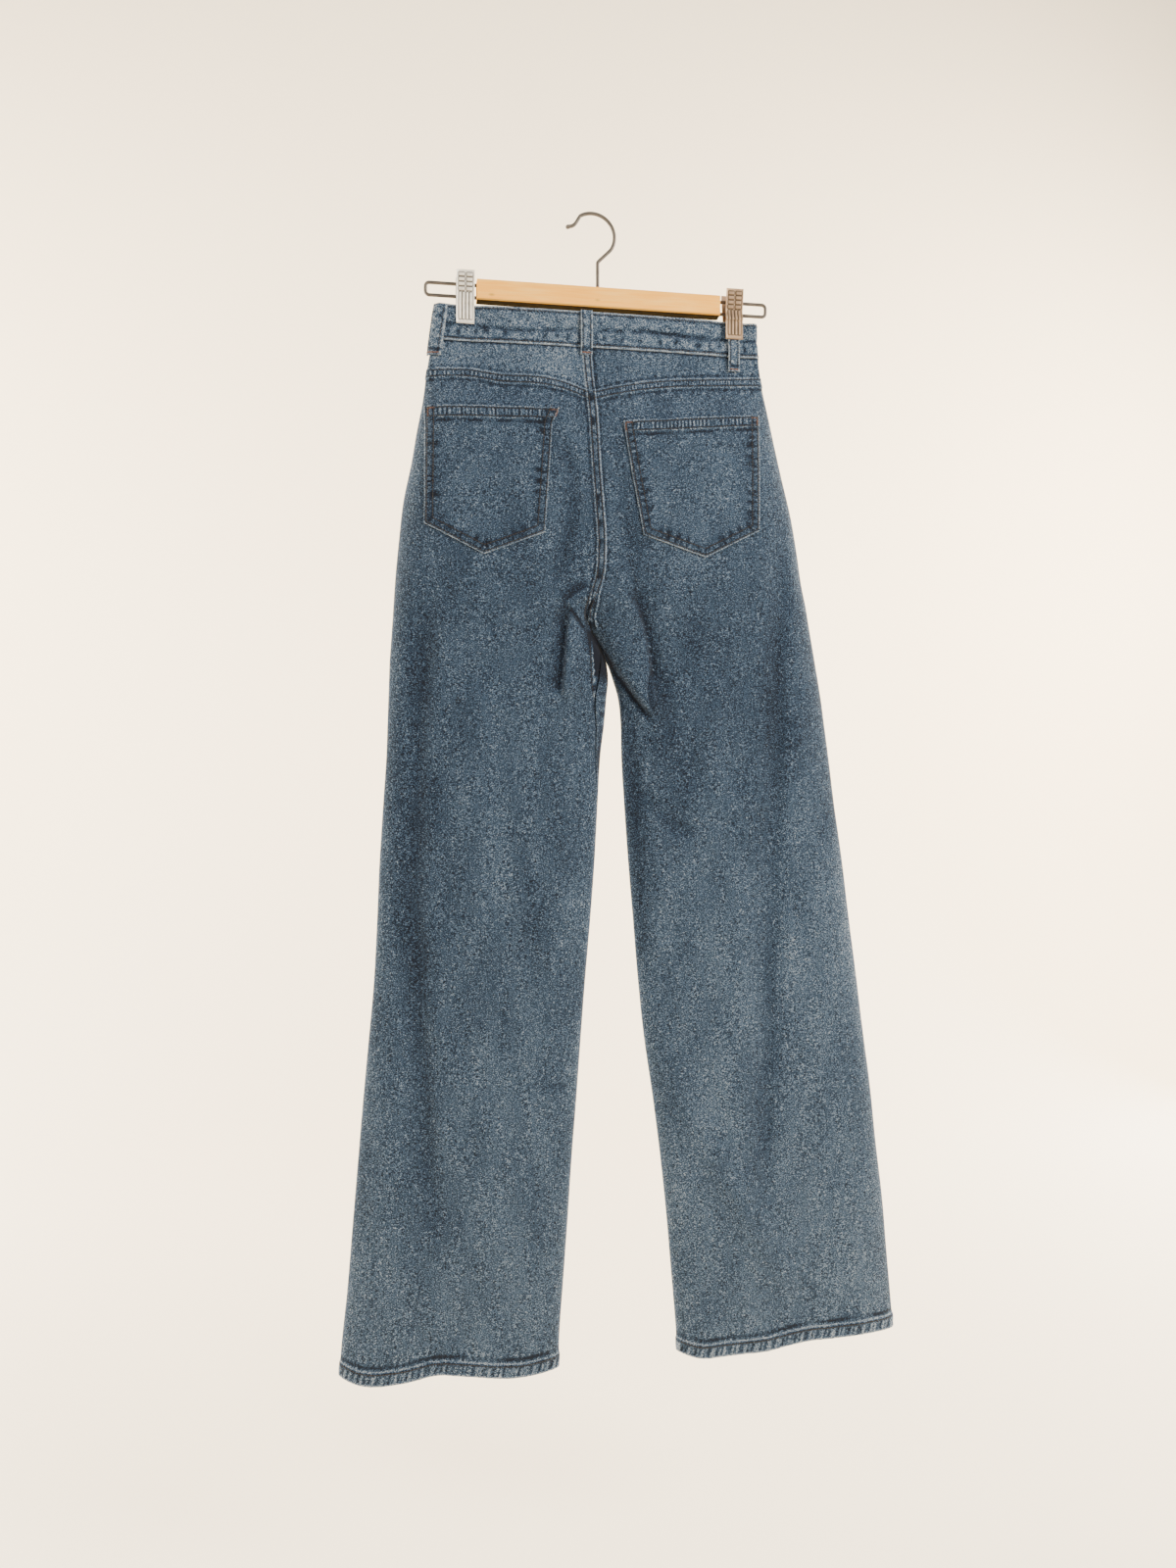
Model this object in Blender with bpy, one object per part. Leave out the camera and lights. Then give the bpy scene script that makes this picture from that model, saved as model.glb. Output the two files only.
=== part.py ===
"""Wide-leg jeans, seen from the back, clipped by the waistband to a wood and wire skirt hanger.

The origin is the inner top of the hook, where a rail or a nail carries it. +Z is up, the back of the
jeans faces -Y and their front faces +Y. Lengths are in millimetres, and MM turns them into Blender's
metres. Heights are written as a drop, the distance below the origin. Left and right are as seen from
the back, which is also the wearer's left and right.
"""

import math

import bmesh
import bpy
import numpy as np

MM = 0.001

# Cloth
CLOTH = 1.4
BAND = 2.6
LOOP_CLOTH = 1.5
SEAM_GAP = 0.4
LIE_GAP = 0.35
FELL_WIDTH = 10.0
FELL_RAISE = 0.7
HEM_HEIGHT = 13.0
HEM_RAISE = 1.0

# Main heights
WAIST_TOP = 101.5
BAND_HEIGHT = 36.0
WAIST_SEAM = WAIST_TOP + BAND_HEIGHT
CROTCH = 425.0
FRONT_DIP = 11.0
POCKET_SCOOP_WIDTH = 84.0
POCKET_SCOOP_DROP = 64.0
FLY_LENGTH = 150.0
FLY_LAP = 4.0

# The hanging cloth's sections, from the waist down to just past the hems. Above the crotch both inner
# columns are the centre back seam. Depths run from the middle plane to the back and to the front.
SECTION_COLUMNS = ("drop", "left_outer", "left_inner", "right_inner", "right_outer", "back", "front")
SECTIONS = (
    (100, -156.5, -6.4, -6.4, 173.0, 6.0, 5.0),
    (140, -161.7, -6.4, -6.4, 175.4, 9.0, 6.5),
    (170, -166.5, -4.3, -4.3, 179.7, 12.0, 8.0),
    (200, -170.5, -1.8, -1.8, 186.5, 14.5, 9.0),
    (230, -176.3, -0.1, -0.1, 193.2, 16.5, 10.0),
    (260, -181.3, 1.4, 1.4, 200.2, 18.0, 10.5),
    (300, -189.5, 4.4, 4.4, 210.0, 19.0, 11.0),
    (340, -194.0, 6.6, 6.6, 217.2, 19.5, 11.0),
    (375, -197.3, 3.5, 3.5, 222.5, 19.5, 11.0),
    (395, -198.7, -3.9, -3.9, 226.9, 19.0, 11.0),
    (410, -199.6, -7.0, -7.0, 229.5, 18.5, 10.5),
    (425, -200.6, -0.5, -0.5, 232.1, 17.5, 10.0),
    (440, -201.6, 8.0, 9.6, 234.8, 17.0, 10.0),
    (460, -203.0, 15.5, 16.5, 238.3, 16.5, 9.5),
    (475, -203.5, 17.0, 21.5, 241.0, 16.2, 9.5),
    (490, -204.0, 15.5, 26.0, 243.5, 16.0, 9.5),
    (520, -205.0, 12.8, 29.5, 247.6, 15.5, 9.0),
    (550, -206.0, 9.1, 30.0, 251.8, 15.0, 9.0),
    (600, -209.2, 6.2, 33.0, 258.1, 15.0, 9.0),
    (660, -212.9, 2.9, 37.3, 267.0, 14.5, 9.0),
    (720, -215.4, -1.6, 42.4, 274.5, 14.5, 9.0),
    (780, -218.6, -6.8, 47.4, 282.6, 14.0, 9.0),
    (840, -224.0, -11.4, 53.8, 290.2, 14.0, 9.5),
    (900, -229.4, -15.8, 62.7, 298.4, 14.0, 9.5),
    (960, -234.4, -20.6, 70.5, 304.8, 14.0, 9.5),
    (1020, -239.3, -24.6, 77.0, 312.1, 14.5, 10.0),
    (1080, -244.2, -29.0, 82.2, 317.3, 15.0, 10.0),
    (1140, -250.3, -33.3, 87.3, 322.6, 15.0, 10.5),
    (1200, -253.0, -34.5, 91.0, 327.0, 15.0, 10.5),
)
FRONT_CENTRE = ((100, 3.0), (200, 3.0), (340, 2.0), (CROTCH, -0.5))

# Edges of the back pieces, as (share of the way from the side to the centre or inseam, drop)
YOKE_LEFT = (
    (0.0, 167.6),
    (0.27, 166.0),
    (0.42, 169.3),
    (0.73, 170.6),
    (0.85, 174.5),
    (0.93, 179.5),
    (1.0, 184.0),
)
YOKE_RIGHT = ((0.0, 157.5), (0.3, 162.0), (0.6, 167.3), (0.82, 174.8), (1.0, 183.5))
HEM_LEFT = (
    (0.0, 1162.0),
    (0.1, 1169.5),
    (0.27, 1168.7),
    (0.42, 1163.7),
    (0.6, 1167.6),
    (0.78, 1172.5),
    (1.0, 1170.0),
)
HEM_RIGHT = (
    (0.0, 1155.6),
    (0.24, 1157.5),
    (0.45, 1159.5),
    (0.6, 1165.0),
    (0.8, 1168.0),
    (0.92, 1169.3),
    (1.0, 1164.0),
)

# How far the seams sit from the folded edges, in the ring's own angle: the side seam lies just round on
# the front, and the inseam starts on the back and turns to the front on its way down.
SIDE_SEAM_TURN = 0.12
INSEAM_LEFT = (
    (CROTCH, 0.0),
    (458, 0.24),
    (485, 0.31),
    (530, 0.25),
    (580, 0.14),
    (620, 0.02),
    (720, -0.1),
    (1200, -0.14),
)
INSEAM_RIGHT = (
    (CROTCH, 0.0),
    (460, 0.10),
    (500, 0.12),
    (530, 0.07),
    (570, -0.02),
    (720, -0.14),
    (1200, -0.16),
)

# The largest folds of the back. Each runs along three points, and its height fades by a width on each side.
FOLD_COLUMNS = ("side", "points", "height", "width_left", "width_right")
FOLDS = (
    ("left", ((-166, 400), (-178, 700), (-162, 985)), -3.5, 16.0, 10.0),
    ("left", ((-35, 400), (-38, 440), (-37, 492)), -5.5, 10.0, 9.0),
    ("left", ((-20, 402), (-14, 440), (-6, 505)), 4.5, 9.0, 14.0),
    ("right", ((196, 330), (187, 680), (179, 990)), -2.2, 14.0, 10.0),
    ("right", ((16, 400), (34, 445), (52, 492)), 7.5, 12.0, 13.0),
    ("right", ((52, 395), (60, 450), (66, 512)), -4.5, 9.0, 12.0),
    ("right", ((50, 590), (75, 615), (100, 632)), -1.8, 9.0, 9.0),
    ("right", ((64, 860), (120, 960), (210, 1100)), 1.8, 14.0, 16.0),
)

# Back pocket outlines, as (x, drop), clockwise from the top corner at the side
POCKET_LEFT = (
    (-168.5, 207.0),
    (-35.8, 204.0),
    (-42.7, 220.0),
    (-50.5, 329.4),
    (-111.6, 353.3),
    (-170.0, 324.0),
)
POCKET_RIGHT = (
    (172.8, 200.2),
    (29.6, 213.8),
    (37.0, 262.0),
    (49.5, 328.7),
    (114.3, 349.7),
    (171.4, 320.3),
)
POCKET_CLOTH = 1.6

# Hanger
HOOK_WIRE = 3.0
HOOK_RADIUS = 23.3
HOOK_START_DEG = -28.0
HOOK_END_DEG = 122.0
HOOK_TAIL = ((-17.0, -9.8), (-20.0, -12.4), (-23.0, -13.4))
HOOK_BALL = 2.2
SHANK_X = 5.8
SHANK_BEND_DROP = 46.5
SHANK_DEPTH_IN_BAR = 12.0
BAR_LEFT, BAR_RIGHT = -117.5, 133.2
BAR_TOP, BAR_BOTTOM = 75.6, 96.4
BAR_DEPTH = 15.0
LOOP_WIRE = 2.8
LOOP_TOP, LOOP_BOTTOM = 80.0, 92.5
LOOP_CORNER = 4.0
LOOP_LEFT_END, LOOP_RIGHT_END = -169.8, 185.2
LOOP_IN_BAR = 14.0
SOCKET_CLEARANCE = 0.3
CLIP_WIDTH = 18.0
CLIP_SHEET = 1.2
CLIP_TOP, CLIP_BOTTOM = 69.0, 120.0
CLIP_LEFT_X, CLIP_RIGHT_X = -129.0, 148.2
CLIP_CORE_WIDTH, CLIP_CORE_DEPTH = 13.0, 11.2
BUTTON_RADIUS = 8.5

COLOURS = {
    "denim": ((0.100, 0.147, 0.188), 0.9, 0.0),
    "steel": ((0.62, 0.60, 0.57), 0.3, 1.0),
    "wood": ((0.78, 0.53, 0.29), 0.5, 0.0),
    "brass": ((0.42, 0.33, 0.22), 0.4, 1.0),
}


def through(table, at):
    """A smooth curve through a table of (place, value) rows, read at one place or an array of them."""
    knots, values = np.array(table, float).T
    slopes = np.gradient(values, knots)
    at = np.clip(np.asarray(at, float), knots[0], knots[-1])
    i = np.clip(np.searchsorted(knots, at, side="right") - 1, 0, len(knots) - 2)
    span = knots[i + 1] - knots[i]
    t = (at - knots[i]) / span
    ease = t * t * (3 - 2 * t)
    into, out = t * (1 - t) ** 2, t * t * (1 - t)
    return values[i] * (1 - ease) + values[i + 1] * ease + span * (into * slopes[i] - out * slopes[i + 1])


def section(column, drop):
    """A column of the sections' table at a drop."""
    k = SECTION_COLUMNS.index(column)
    return through([(row[0], row[k]) for row in SECTIONS], drop)


def step(low, high, at):
    """0 below low, 1 above high, smooth between."""
    t = np.clip((np.asarray(at, float) - low) / (high - low), 0, 1)
    return t * t * (3 - 2 * t)


def pinch(x, drop):
    """1 across each clip's jaws, where they press the waist flat, and 0 away from them."""
    half = CLIP_WIDTH / 2 + 1
    near = np.minimum(np.abs(x - CLIP_LEFT_X), np.abs(x - CLIP_RIGHT_X))
    return (1 - step(half, half + 16, near)) * (1 - 0.5 * step(CLIP_BOTTOM + 1, WAIST_SEAM, drop))


def waist_depth(x, drop, edge_distance, face):
    """How far the waist's cloth stands from the middle plane: flat in the jaws, slack between them."""
    pressed, end, slack = BAND / 2 + 0.3, 3.4, {"back": 2.6, "front": 2.2}[face]
    share = np.clip((x - CLIP_LEFT_X) / (CLIP_RIGHT_X - CLIP_LEFT_X), 0, 1)
    free = end + slack * 4 * share * (1 - share)
    rounded = np.sqrt(1 - (1 - np.clip(edge_distance / end, 0, 1)) ** 2)
    return (free + (pressed - free) * pinch(x, drop)) * rounded


def fold_height(side, x, drop):
    """The folds' sum at points of the back."""
    total = np.zeros_like(x)
    for fold in FOLDS:
        row = dict(zip(FOLD_COLUMNS, fold))
        if row["side"] != side:
            continue
        (x0, d0), (x1, d1), (x2, d2) = row["points"]
        along = np.clip((drop - d0) / (d2 - d0), 0, 1)
        bend = (d1 - d0) / (d2 - d0)
        upper = x0 + (x1 - x0) * along / bend
        lower = x1 + (x2 - x1) * (along - bend) / (1 - bend)
        line = np.where(along < bend, upper, lower)
        width = np.where(x < line, row["width_left"], row["width_right"])
        reach = max(30.0, 0.12 * (d2 - d0))
        starts = step(d0 - reach / 2, d0 + reach / 2, drop)
        ends = 1 - step(d2 - reach / 2, d2 + reach / 2, drop)
        total += row["height"] * np.exp(-(((x - line) / width) ** 2)) * starts * ends
    return total


def front_dip(x):
    """How much lower the front of the waist hangs."""
    return FRONT_DIP * (1 - np.clip((x - 8.0) / 166.0, -1, 1) ** 2)


def ring_point(side, theta, drop):
    """The cloth's middle surface.

    theta runs round one leg, or round half of the body above the crotch: 0 at the side edge, 0 to 2 across
    the back, 2 at the centre or the inner edge, and 2 to 4 across the front back to the side.
    """
    theta, drop = np.broadcast_arrays(np.asarray(theta, float) % 4, np.asarray(drop, float))
    back = theta < 2
    u = np.where(back, theta - 1, 3 - theta)
    across = np.sin(math.pi / 2 * np.clip(u, -1, 1))
    outer, inner = section(f"{side}_outer", drop), section(f"{side}_inner", drop)
    front_centre = through(FRONT_CENTRE, np.minimum(drop, CROTCH))
    inner = np.where(back | (drop > CROTCH), inner, front_centre)
    towards = 1 if side == "left" else -1
    part = SEAM_GAP / 2 + 0.75 * step(365, 398, drop)
    inner = inner - towards * part
    x = outer + (inner - outer) * (across + 1) / 2
    edge = np.sqrt(np.clip(1 - across**4, 0, 1))
    whole = 1 - step(388, CROTCH, drop)
    crown = np.where(across > 0, whole + (1 - whole) * edge, edge)
    low = np.where(back, drop, drop - front_dip(x))
    body = step(WAIST_SEAM + 1, WAIST_SEAM + 78, low)
    outside = np.abs(x - outer)
    back_y = -(waist_depth(x, low, outside, "back") * (1 - body) + section("back", drop) * crown * body)
    back_y = back_y - fold_height(side, x, drop) * edge * body
    front_y = waist_depth(x, low, outside, "front") * (1 - body) + section("front", drop) * crown * body
    return np.stack([x, np.where(back, back_y, front_y), -drop], axis=-1)


def theta_at(side, face, x, drop):
    """The ring's angle at a given x on one face."""
    outer = float(section(f"{side}_outer", drop))
    inner = float(section(f"{side}_inner", drop) if face == "back" else through(FRONT_CENTRE, drop))
    u = 2 / math.pi * math.asin(max(-1.0, min(1.0, 2 * (x - outer) / (inner - outer) - 1)))
    return u + 1 if face == "back" else 3 - u


def grid_normals(points):
    """Unit normals of a grid of points, all turned away from the hanger's middle plane."""
    down = np.gradient(points, axis=0, edge_order=2 if len(points) > 2 else 1)
    along = np.gradient(points, axis=1, edge_order=2 if points.shape[1] > 2 else 1)
    normal = np.cross(along, down)
    normal /= np.linalg.norm(normal, axis=-1, keepdims=True)
    return normal if np.sum(normal[..., 1] * points[..., 1]) > 0 else -normal


def material(name):
    found = bpy.data.materials.get(name)
    if found:
        return found
    colour, roughness, metallic = COLOURS[name]
    made = bpy.data.materials.new(name)
    made.use_nodes = True
    shader = made.node_tree.nodes["Principled BSDF"]
    shader.inputs["Base Color"].default_value = (*colour, 1)
    shader.inputs["Roughness"].default_value = roughness
    shader.inputs["Metallic"].default_value = metallic
    return made


def add_mesh(name, points, faces, finish, smooth=False):
    """A named object from points in millimetres. Its faces are turned to point out."""
    mesh = bpy.data.meshes.new(name)
    mesh.from_pydata([tuple(float(c) * MM for c in p) for p in points], [], faces)
    builder = bmesh.new()
    builder.from_mesh(mesh)
    bmesh.ops.recalc_face_normals(builder, faces=builder.faces)
    if builder.calc_volume(signed=True) < 0:
        bmesh.ops.reverse_faces(builder, faces=builder.faces)
    builder.to_mesh(mesh)
    builder.free()
    if smooth:
        mesh.shade_smooth()
    mesh.materials.append(material(finish))
    placed = bpy.data.objects.new(name, mesh)
    bpy.context.scene.collection.objects.link(placed)
    return placed


def wall(name, middle, inside, outside, finish="denim"):
    """A closed wall of cloth: a grid of middle points moved inside and outside along its normals."""
    rows, columns = middle.shape[:2]
    normal = grid_normals(middle)
    outer = middle + normal * np.broadcast_to(outside, (rows, columns))[..., None]
    inner = middle + normal * np.broadcast_to(inside, (rows, columns))[..., None]
    points = np.concatenate([outer.reshape(-1, 3), inner.reshape(-1, 3)])
    under = rows * columns
    faces = []
    for r in range(rows - 1):
        for c in range(columns - 1):
            a, b = r * columns + c, r * columns + c + 1
            d, e = a + columns, b + columns
            faces.append((a, b, e, d))
            faces.append((under + a, under + d, under + e, under + b))
    last = (rows - 1) * columns
    rim = list(range(columns))
    rim += [r * columns + columns - 1 for r in range(1, rows)]
    rim += [last + c for c in range(columns - 2, -1, -1)]
    rim += [r * columns for r in range(rows - 2, 0, -1)]
    for a, b in zip(rim, rim[1:] + rim[:1]):
        faces.append((a, under + a, under + b, b))
    return add_mesh(name, points, faces, finish)


def even(start, end, count):
    """count steps from start to end."""
    return list(np.linspace(start, end, count + 1))


# Rows of the long panels: close together at the seat and crotch, where the cloth turns most
BACK_ROWS = (
    [174.0, 183.5, 191.0]
    + even(210, 380, 8)
    + even(393, 510, 9)
    + even(528, 620, 4)
    + even(665, 1110, 9)
    + [1140.0, 1165.0 - HEM_HEIGHT - 0.5, 1165.0 - HEM_HEIGHT, 1165.0]
)
FRONT_ROWS = (
    even(225, 365, 4)
    + even(388, 470, 5)
    + even(500, 1100, 10)
    + [1165.0 - HEM_HEIGHT - 0.5, 1165.0 - HEM_HEIGHT, 1165.0]
)
BACK_COLUMNS = [0.0, 0.03, 0.075, 0.13] + even(0.2, 0.6, 5) + [0.67, 0.735, 0.795, 0.85, 0.9, 0.937]
BACK_COLUMNS += [0.965, 1.0]
SCOOP_STEPS_DEG = (0, 16, 32, 47, 60, 72, 82, 90)


def edge_share(side, theta):
    """How far from the side towards the centre or inseam a ring angle is, from 0 to 1."""
    theta = theta % 4
    u = theta - 1 if theta < 2 else 3 - theta
    return (math.sin(math.pi / 2 * u) + 1) / 2


def inseam_turn(side, drop):
    return float(through(INSEAM_LEFT if side == "left" else INSEAM_RIGHT, drop)) if drop > CROTCH else 0.0


def seam_turn(depth):
    """The ring angle that half the seam's gap takes at a folded edge of this depth."""
    return SEAM_GAP / 2 / (2.2 * depth)


def hem_level(side, theta):
    share = edge_share(side, theta)
    if theta % 4 < 2:
        return float(through(HEM_LEFT if side == "left" else HEM_RIGHT, share))
    table = HEM_LEFT if side == "left" else HEM_RIGHT
    return table[0][1] + (table[-1][1] - table[0][1]) * share


def row_drop(level, theta, side, top):
    """A panel's row, bent to meet its top edge and its hem."""
    drop = level
    if top is not None:
        drop += (top - BACK_ROWS[0]) * float(1 - step(BACK_ROWS[0] + 17, 250, level))
    return drop + (hem_level(side, theta) - 1165.0) * float(step(1060, 1151, level))


def back_panel(side):
    """One back leg, from the yoke seam to the hem, and from the side seam to the centre seam and inseam."""
    yoke = YOKE_LEFT if side == "left" else YOKE_RIGHT
    rows = []
    for level in BACK_ROWS:
        start = -SIDE_SEAM_TURN + seam_turn(10)
        end = 2 - inseam_turn(side, level) - (seam_turn(10) if level > CROTCH - 1 else 0.004)
        row = []
        for share in BACK_COLUMNS:
            theta = start + (end - start) * share
            top = float(through(yoke, edge_share(side, theta))) + SEAM_GAP / 2
            row.append(ring_point(side, theta, row_drop(level, theta, side, top)))
        rows.append(row)
    middle = np.array(rows)
    raise_hem = np.array([HEM_RAISE if level > 1165 - HEM_HEIGHT - 0.2 else 0.0 for level in BACK_ROWS])
    raise_yoke = np.array([FELL_RAISE if level < BACK_ROWS[0] + FELL_WIDTH else 0.0 for level in BACK_ROWS])
    out = CLOTH / 2 + raise_hem[:, None] + raise_yoke[:, None] + np.zeros(middle.shape[:2])
    out[:, -1] += FELL_RAISE * (np.array(BACK_ROWS) < CROTCH - 30)
    out[:, -2] += FELL_RAISE * (np.array(BACK_ROWS) < CROTCH - 30)
    wall(f"back_panel_{side}", middle, -CLOTH / 2, out)
    return middle, out


def back_yoke(side):
    """The curved yoke between the waistband and the back panel."""
    yoke = YOKE_LEFT if side == "left" else YOKE_RIGHT
    start, end = -SIDE_SEAM_TURN + seam_turn(10), 2 - 0.004
    rows = []
    for down in (0.0, 0.3, 0.65, 1.0):
        row = []
        for share in BACK_COLUMNS:
            theta = start + (end - start) * share
            low = float(through(yoke, edge_share(side, theta))) - SEAM_GAP / 2
            row.append(ring_point(side, theta, WAIST_SEAM + SEAM_GAP + (low - WAIST_SEAM - SEAM_GAP) * down))
        rows.append(row)
    wall(f"back_yoke_{side}", np.array(rows), -CLOTH / 2, CLOTH / 2)


def front_panel(side):
    """One front leg, with the scooped pocket opening cut out of its top corner at the side."""
    shares = (0.0, 0.03, 0.07, 0.13, 0.2, 0.29, 0.38, 0.47, 0.56, 0.65, 0.74, 0.83, 0.91, 0.96, 1.0)
    rows, levels = [], []
    side_theta = 4 - SIDE_SEAM_TURN - seam_turn(10)
    for angle in SCOOP_STEPS_DEG:
        reach = POCKET_SCOOP_WIDTH * math.cos(math.radians(angle))
        down = POCKET_SCOOP_DROP * math.sin(math.radians(angle))
        level = WAIST_SEAM + SEAM_GAP + down
        edge_x = float(section(f"{side}_outer", level)) + (reach if side == "left" else -reach)
        scoop_theta = min(theta_at(side, "front", edge_x, level), side_theta) if reach > 2.5 else side_theta
        row = []
        for share in shares:
            theta = 2.004 + (scoop_theta - 2.004) * share
            x = ring_point(side, theta, level)[0]
            row.append(ring_point(side, theta, level + float(front_dip(x)) * (1 - down / POCKET_SCOOP_DROP)))
        rows.append(row)
        levels.append(level)
    for level in FRONT_ROWS:
        inner_theta = 2 - inseam_turn(side, level) + (seam_turn(7) if level > CROTCH - 1 else 0.004)
        row = []
        for share in shares:
            theta = inner_theta + (side_theta - inner_theta) * share
            row.append(ring_point(side, theta, row_drop(level, theta, side, None)))
        rows.append(row)
        levels.append(level)
    middle = np.array(rows)
    raise_hem = np.array([HEM_RAISE if level > 1165 - HEM_HEIGHT - 0.2 else 0.0 for level in levels])
    if side == "left":
        add_fly_lap(middle, levels)
    wall(f"front_panel_{side}", middle, -CLOTH / 2, CLOTH / 2 + raise_hem[:, None])


def add_fly_lap(middle, levels):
    """The left front's edge laps over the right's, down to the end of the fly."""
    rise = CLOTH + LIE_GAP + 0.1
    for r, level in enumerate(levels):
        fade = float(1 - step(WAIST_SEAM + FLY_LENGTH - 20, WAIST_SEAM + FLY_LENGTH + 5, level))
        if fade <= 0:
            continue
        lap = FLY_LAP * float(1 - step(WAIST_SEAM + FLY_LENGTH - 75, WAIST_SEAM + FLY_LENGTH - 30, level))
        for c, (shift, lift) in enumerate(((1.0, 1.0), (0.1, 1.0), (0.0, 0.6), (0.0, 0.2))):
            middle[r, c, 0] += shift * lap
            middle[r, c, 1] += lift * rise * fade


def pocket_facing(side):
    """The denim inside the front pocket's opening, which lies under the front panel's scooped edge."""
    reach = POCKET_SCOOP_WIDTH + 16
    rows, flush = [], []
    for down in even(0, POCKET_SCOOP_DROP + 14, 7):
        level = WAIST_SEAM + SEAM_GAP + down
        narrowed = reach * math.sqrt(max(0.0, 1 - (down / (POCKET_SCOOP_DROP + 30)) ** 2))
        row = []
        for share in (0.0, 0.04, 0.1, 0.2, 0.35, 0.5, 0.65, 0.8, 0.9, 1.0):
            outer = float(section(f"{side}_outer", level))
            far_x = outer + (narrowed if side == "left" else -narrowed)
            far_theta = theta_at(side, "front", far_x, level)
            near_theta = 4 - SIDE_SEAM_TURN - seam_turn(8)
            theta = near_theta + (far_theta - near_theta) * share
            dip = float(front_dip(ring_point(side, theta, level)[0]))
            row.append(ring_point(side, theta, level + dip * max(0.0, 1 - down / POCKET_SCOOP_DROP)))
        rows.append(row)
        low = float(1 - step(34, 46, down))
        flush.append([low * float(1 - step(6, 20, abs(point[0] - outer))) for point in row])
    deep = (CLOTH + LIE_GAP + 0.35) * (1 - np.array(flush))
    wall(f"pocket_facing_{side}", np.array(rows), -CLOTH / 2 - deep, CLOTH / 2 - deep)


def waistband():
    """One strip round the waist. Its right end runs under its left end at the centre front."""
    stations = []
    under = BAND + SEAM_GAP
    for x in even(-34, 12, 5):
        side = "right" if x > 3.3 else "left"
        stations.append((side, theta_at(side, "front", x, 120), -under))
    for x in (20.0, 30.0):
        rise = under * float(step(12, 34, x))
        stations.append(("right", theta_at("right", "front", x, 120), rise - under))
    stations += [("right", theta, 0.0) for theta in front_stations("right", 40.0)]
    stations += [("right", theta, 0.0) for theta in back_stations("right")]
    stations += [("left", theta, 0.0) for theta in reversed(back_stations("left"))]
    stations += [("left", theta, 0.0) for theta in reversed(front_stations("left", -4.0))]
    stations.append(("left", 2.02, 0.0))
    stations.append(("right", 2.02, 0.0))
    rows = []
    for down in (0.0, 0.33, 0.67, 1.0):
        row = []
        for side, theta, shift in stations:
            x = float(ring_point(side, theta, 120)[0])
            dip = float(front_dip(x)) if theta % 4 >= 2 else 0.0
            point = ring_point(side, theta, WAIST_TOP + BAND_HEIGHT * down + dip)
            point[1] += shift
            row.append(point)
        rows.append(row)
    middle = np.array(rows)[:, ::-1]
    wall("waistband", middle, -BAND / 2, BAND / 2)


def front_stations(side, from_x):
    """Ring angles across the front of the waist, from the centre out to the side's edge."""
    outer = float(section(f"{side}_outer", 120))
    towards = 1 if side == "right" else -1
    clip_x = CLIP_RIGHT_X if side == "right" else CLIP_LEFT_X
    spread = [from_x + (clip_x - 25 * towards - from_x) * k / 4 for k in range(5)]
    spread += [clip_x - 17 * towards, clip_x - 10 * towards, clip_x + 10 * towards, clip_x + 17 * towards]
    angles = [theta_at(side, "front", x, 120) for x in spread if abs(x) < abs(outer) - 4]
    return angles + [3.86, 3.93]


def back_stations(side):
    """Ring angles across the back of the waist, from the side's edge to the centre."""
    outer = float(section(f"{side}_outer", 120))
    towards = 1 if side == "right" else -1
    clip_x = CLIP_RIGHT_X if side == "right" else CLIP_LEFT_X
    inner_x = -6.4 + 8 * towards
    spread = [clip_x + 17 * towards, clip_x + 10 * towards, clip_x - 10 * towards, clip_x - 17 * towards]
    spread += [clip_x - 25 * towards + (inner_x - clip_x + 25 * towards) * k / 4 for k in range(5)]
    angles = [theta_at(side, "back", x, 120) for x in spread if abs(x) < abs(outer) - 4]
    return [0.0, 0.07, 0.14] + angles


def surface_y(face, x, drop, lift):
    """The y of a point lifted off the waist's or the yoke's outer surface, whichever stands further out."""
    side = "left" if x < -6.4 else "right"
    theta = theta_at(side, face, x, drop)
    y = float(ring_point(side, theta, drop)[1])
    top = WAIST_SEAM + (float(front_dip(x)) if face == "front" else 0.0)
    half = BAND / 2 if drop < top + 3 else CLOTH / 2
    return y - (half + lift) if face == "back" else y + half + lift


def belt_loop(name, face, x_centre, top, bottom, width=12.0):
    """A strip sewn down at both ends and standing a little clear of the waistband between them."""
    drops = [top, top + 4, top + 9, (top + bottom) / 2, bottom - 9, bottom - 4.5, bottom]
    stand = [0.0, 0.15, 0.7, 0.9, 0.8, 0.3, 0.0]
    rows = []
    for drop, clear in zip(drops, stand):
        lift = LIE_GAP + 0.25 + LOOP_CLOTH / 2 + clear
        row = []
        for share in (-0.5, 0.0, 0.5):
            x = x_centre + share * width
            rise = min(surface_y(face, x, d, lift) for d in (drop - 2, drop, drop + 2))
            if face == "front":
                rise = max(surface_y(face, x, d, lift) for d in (drop - 2, drop, drop + 2))
            row.append((x, rise, -drop))
        rows.append(row if face == "back" else row[::-1])
    wall(name, np.array(rows), -LOOP_CLOTH / 2, LOOP_CLOTH / 2)


def edge_loop(name, side, top, bottom):
    """The side back loop, which lies round the waistband's folded edge."""
    drops = [top, top + 9, (top + bottom) / 2, bottom - 9, bottom]
    stand = np.array([0.0, 0.5, 0.7, 0.5, 0.0])
    thetas = [-0.01, 0.05, 0.11, 0.18, 0.25, 0.33]
    middle = np.array([[ring_point(side, theta, drop) for theta in thetas] for drop in drops])
    lift = BAND / 2 + LIE_GAP + 0.3 + LOOP_CLOTH / 2 + stand[:, None, None]
    wall(name, middle + grid_normals(middle) * lift, -LOOP_CLOTH / 2, LOOP_CLOTH / 2)


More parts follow.
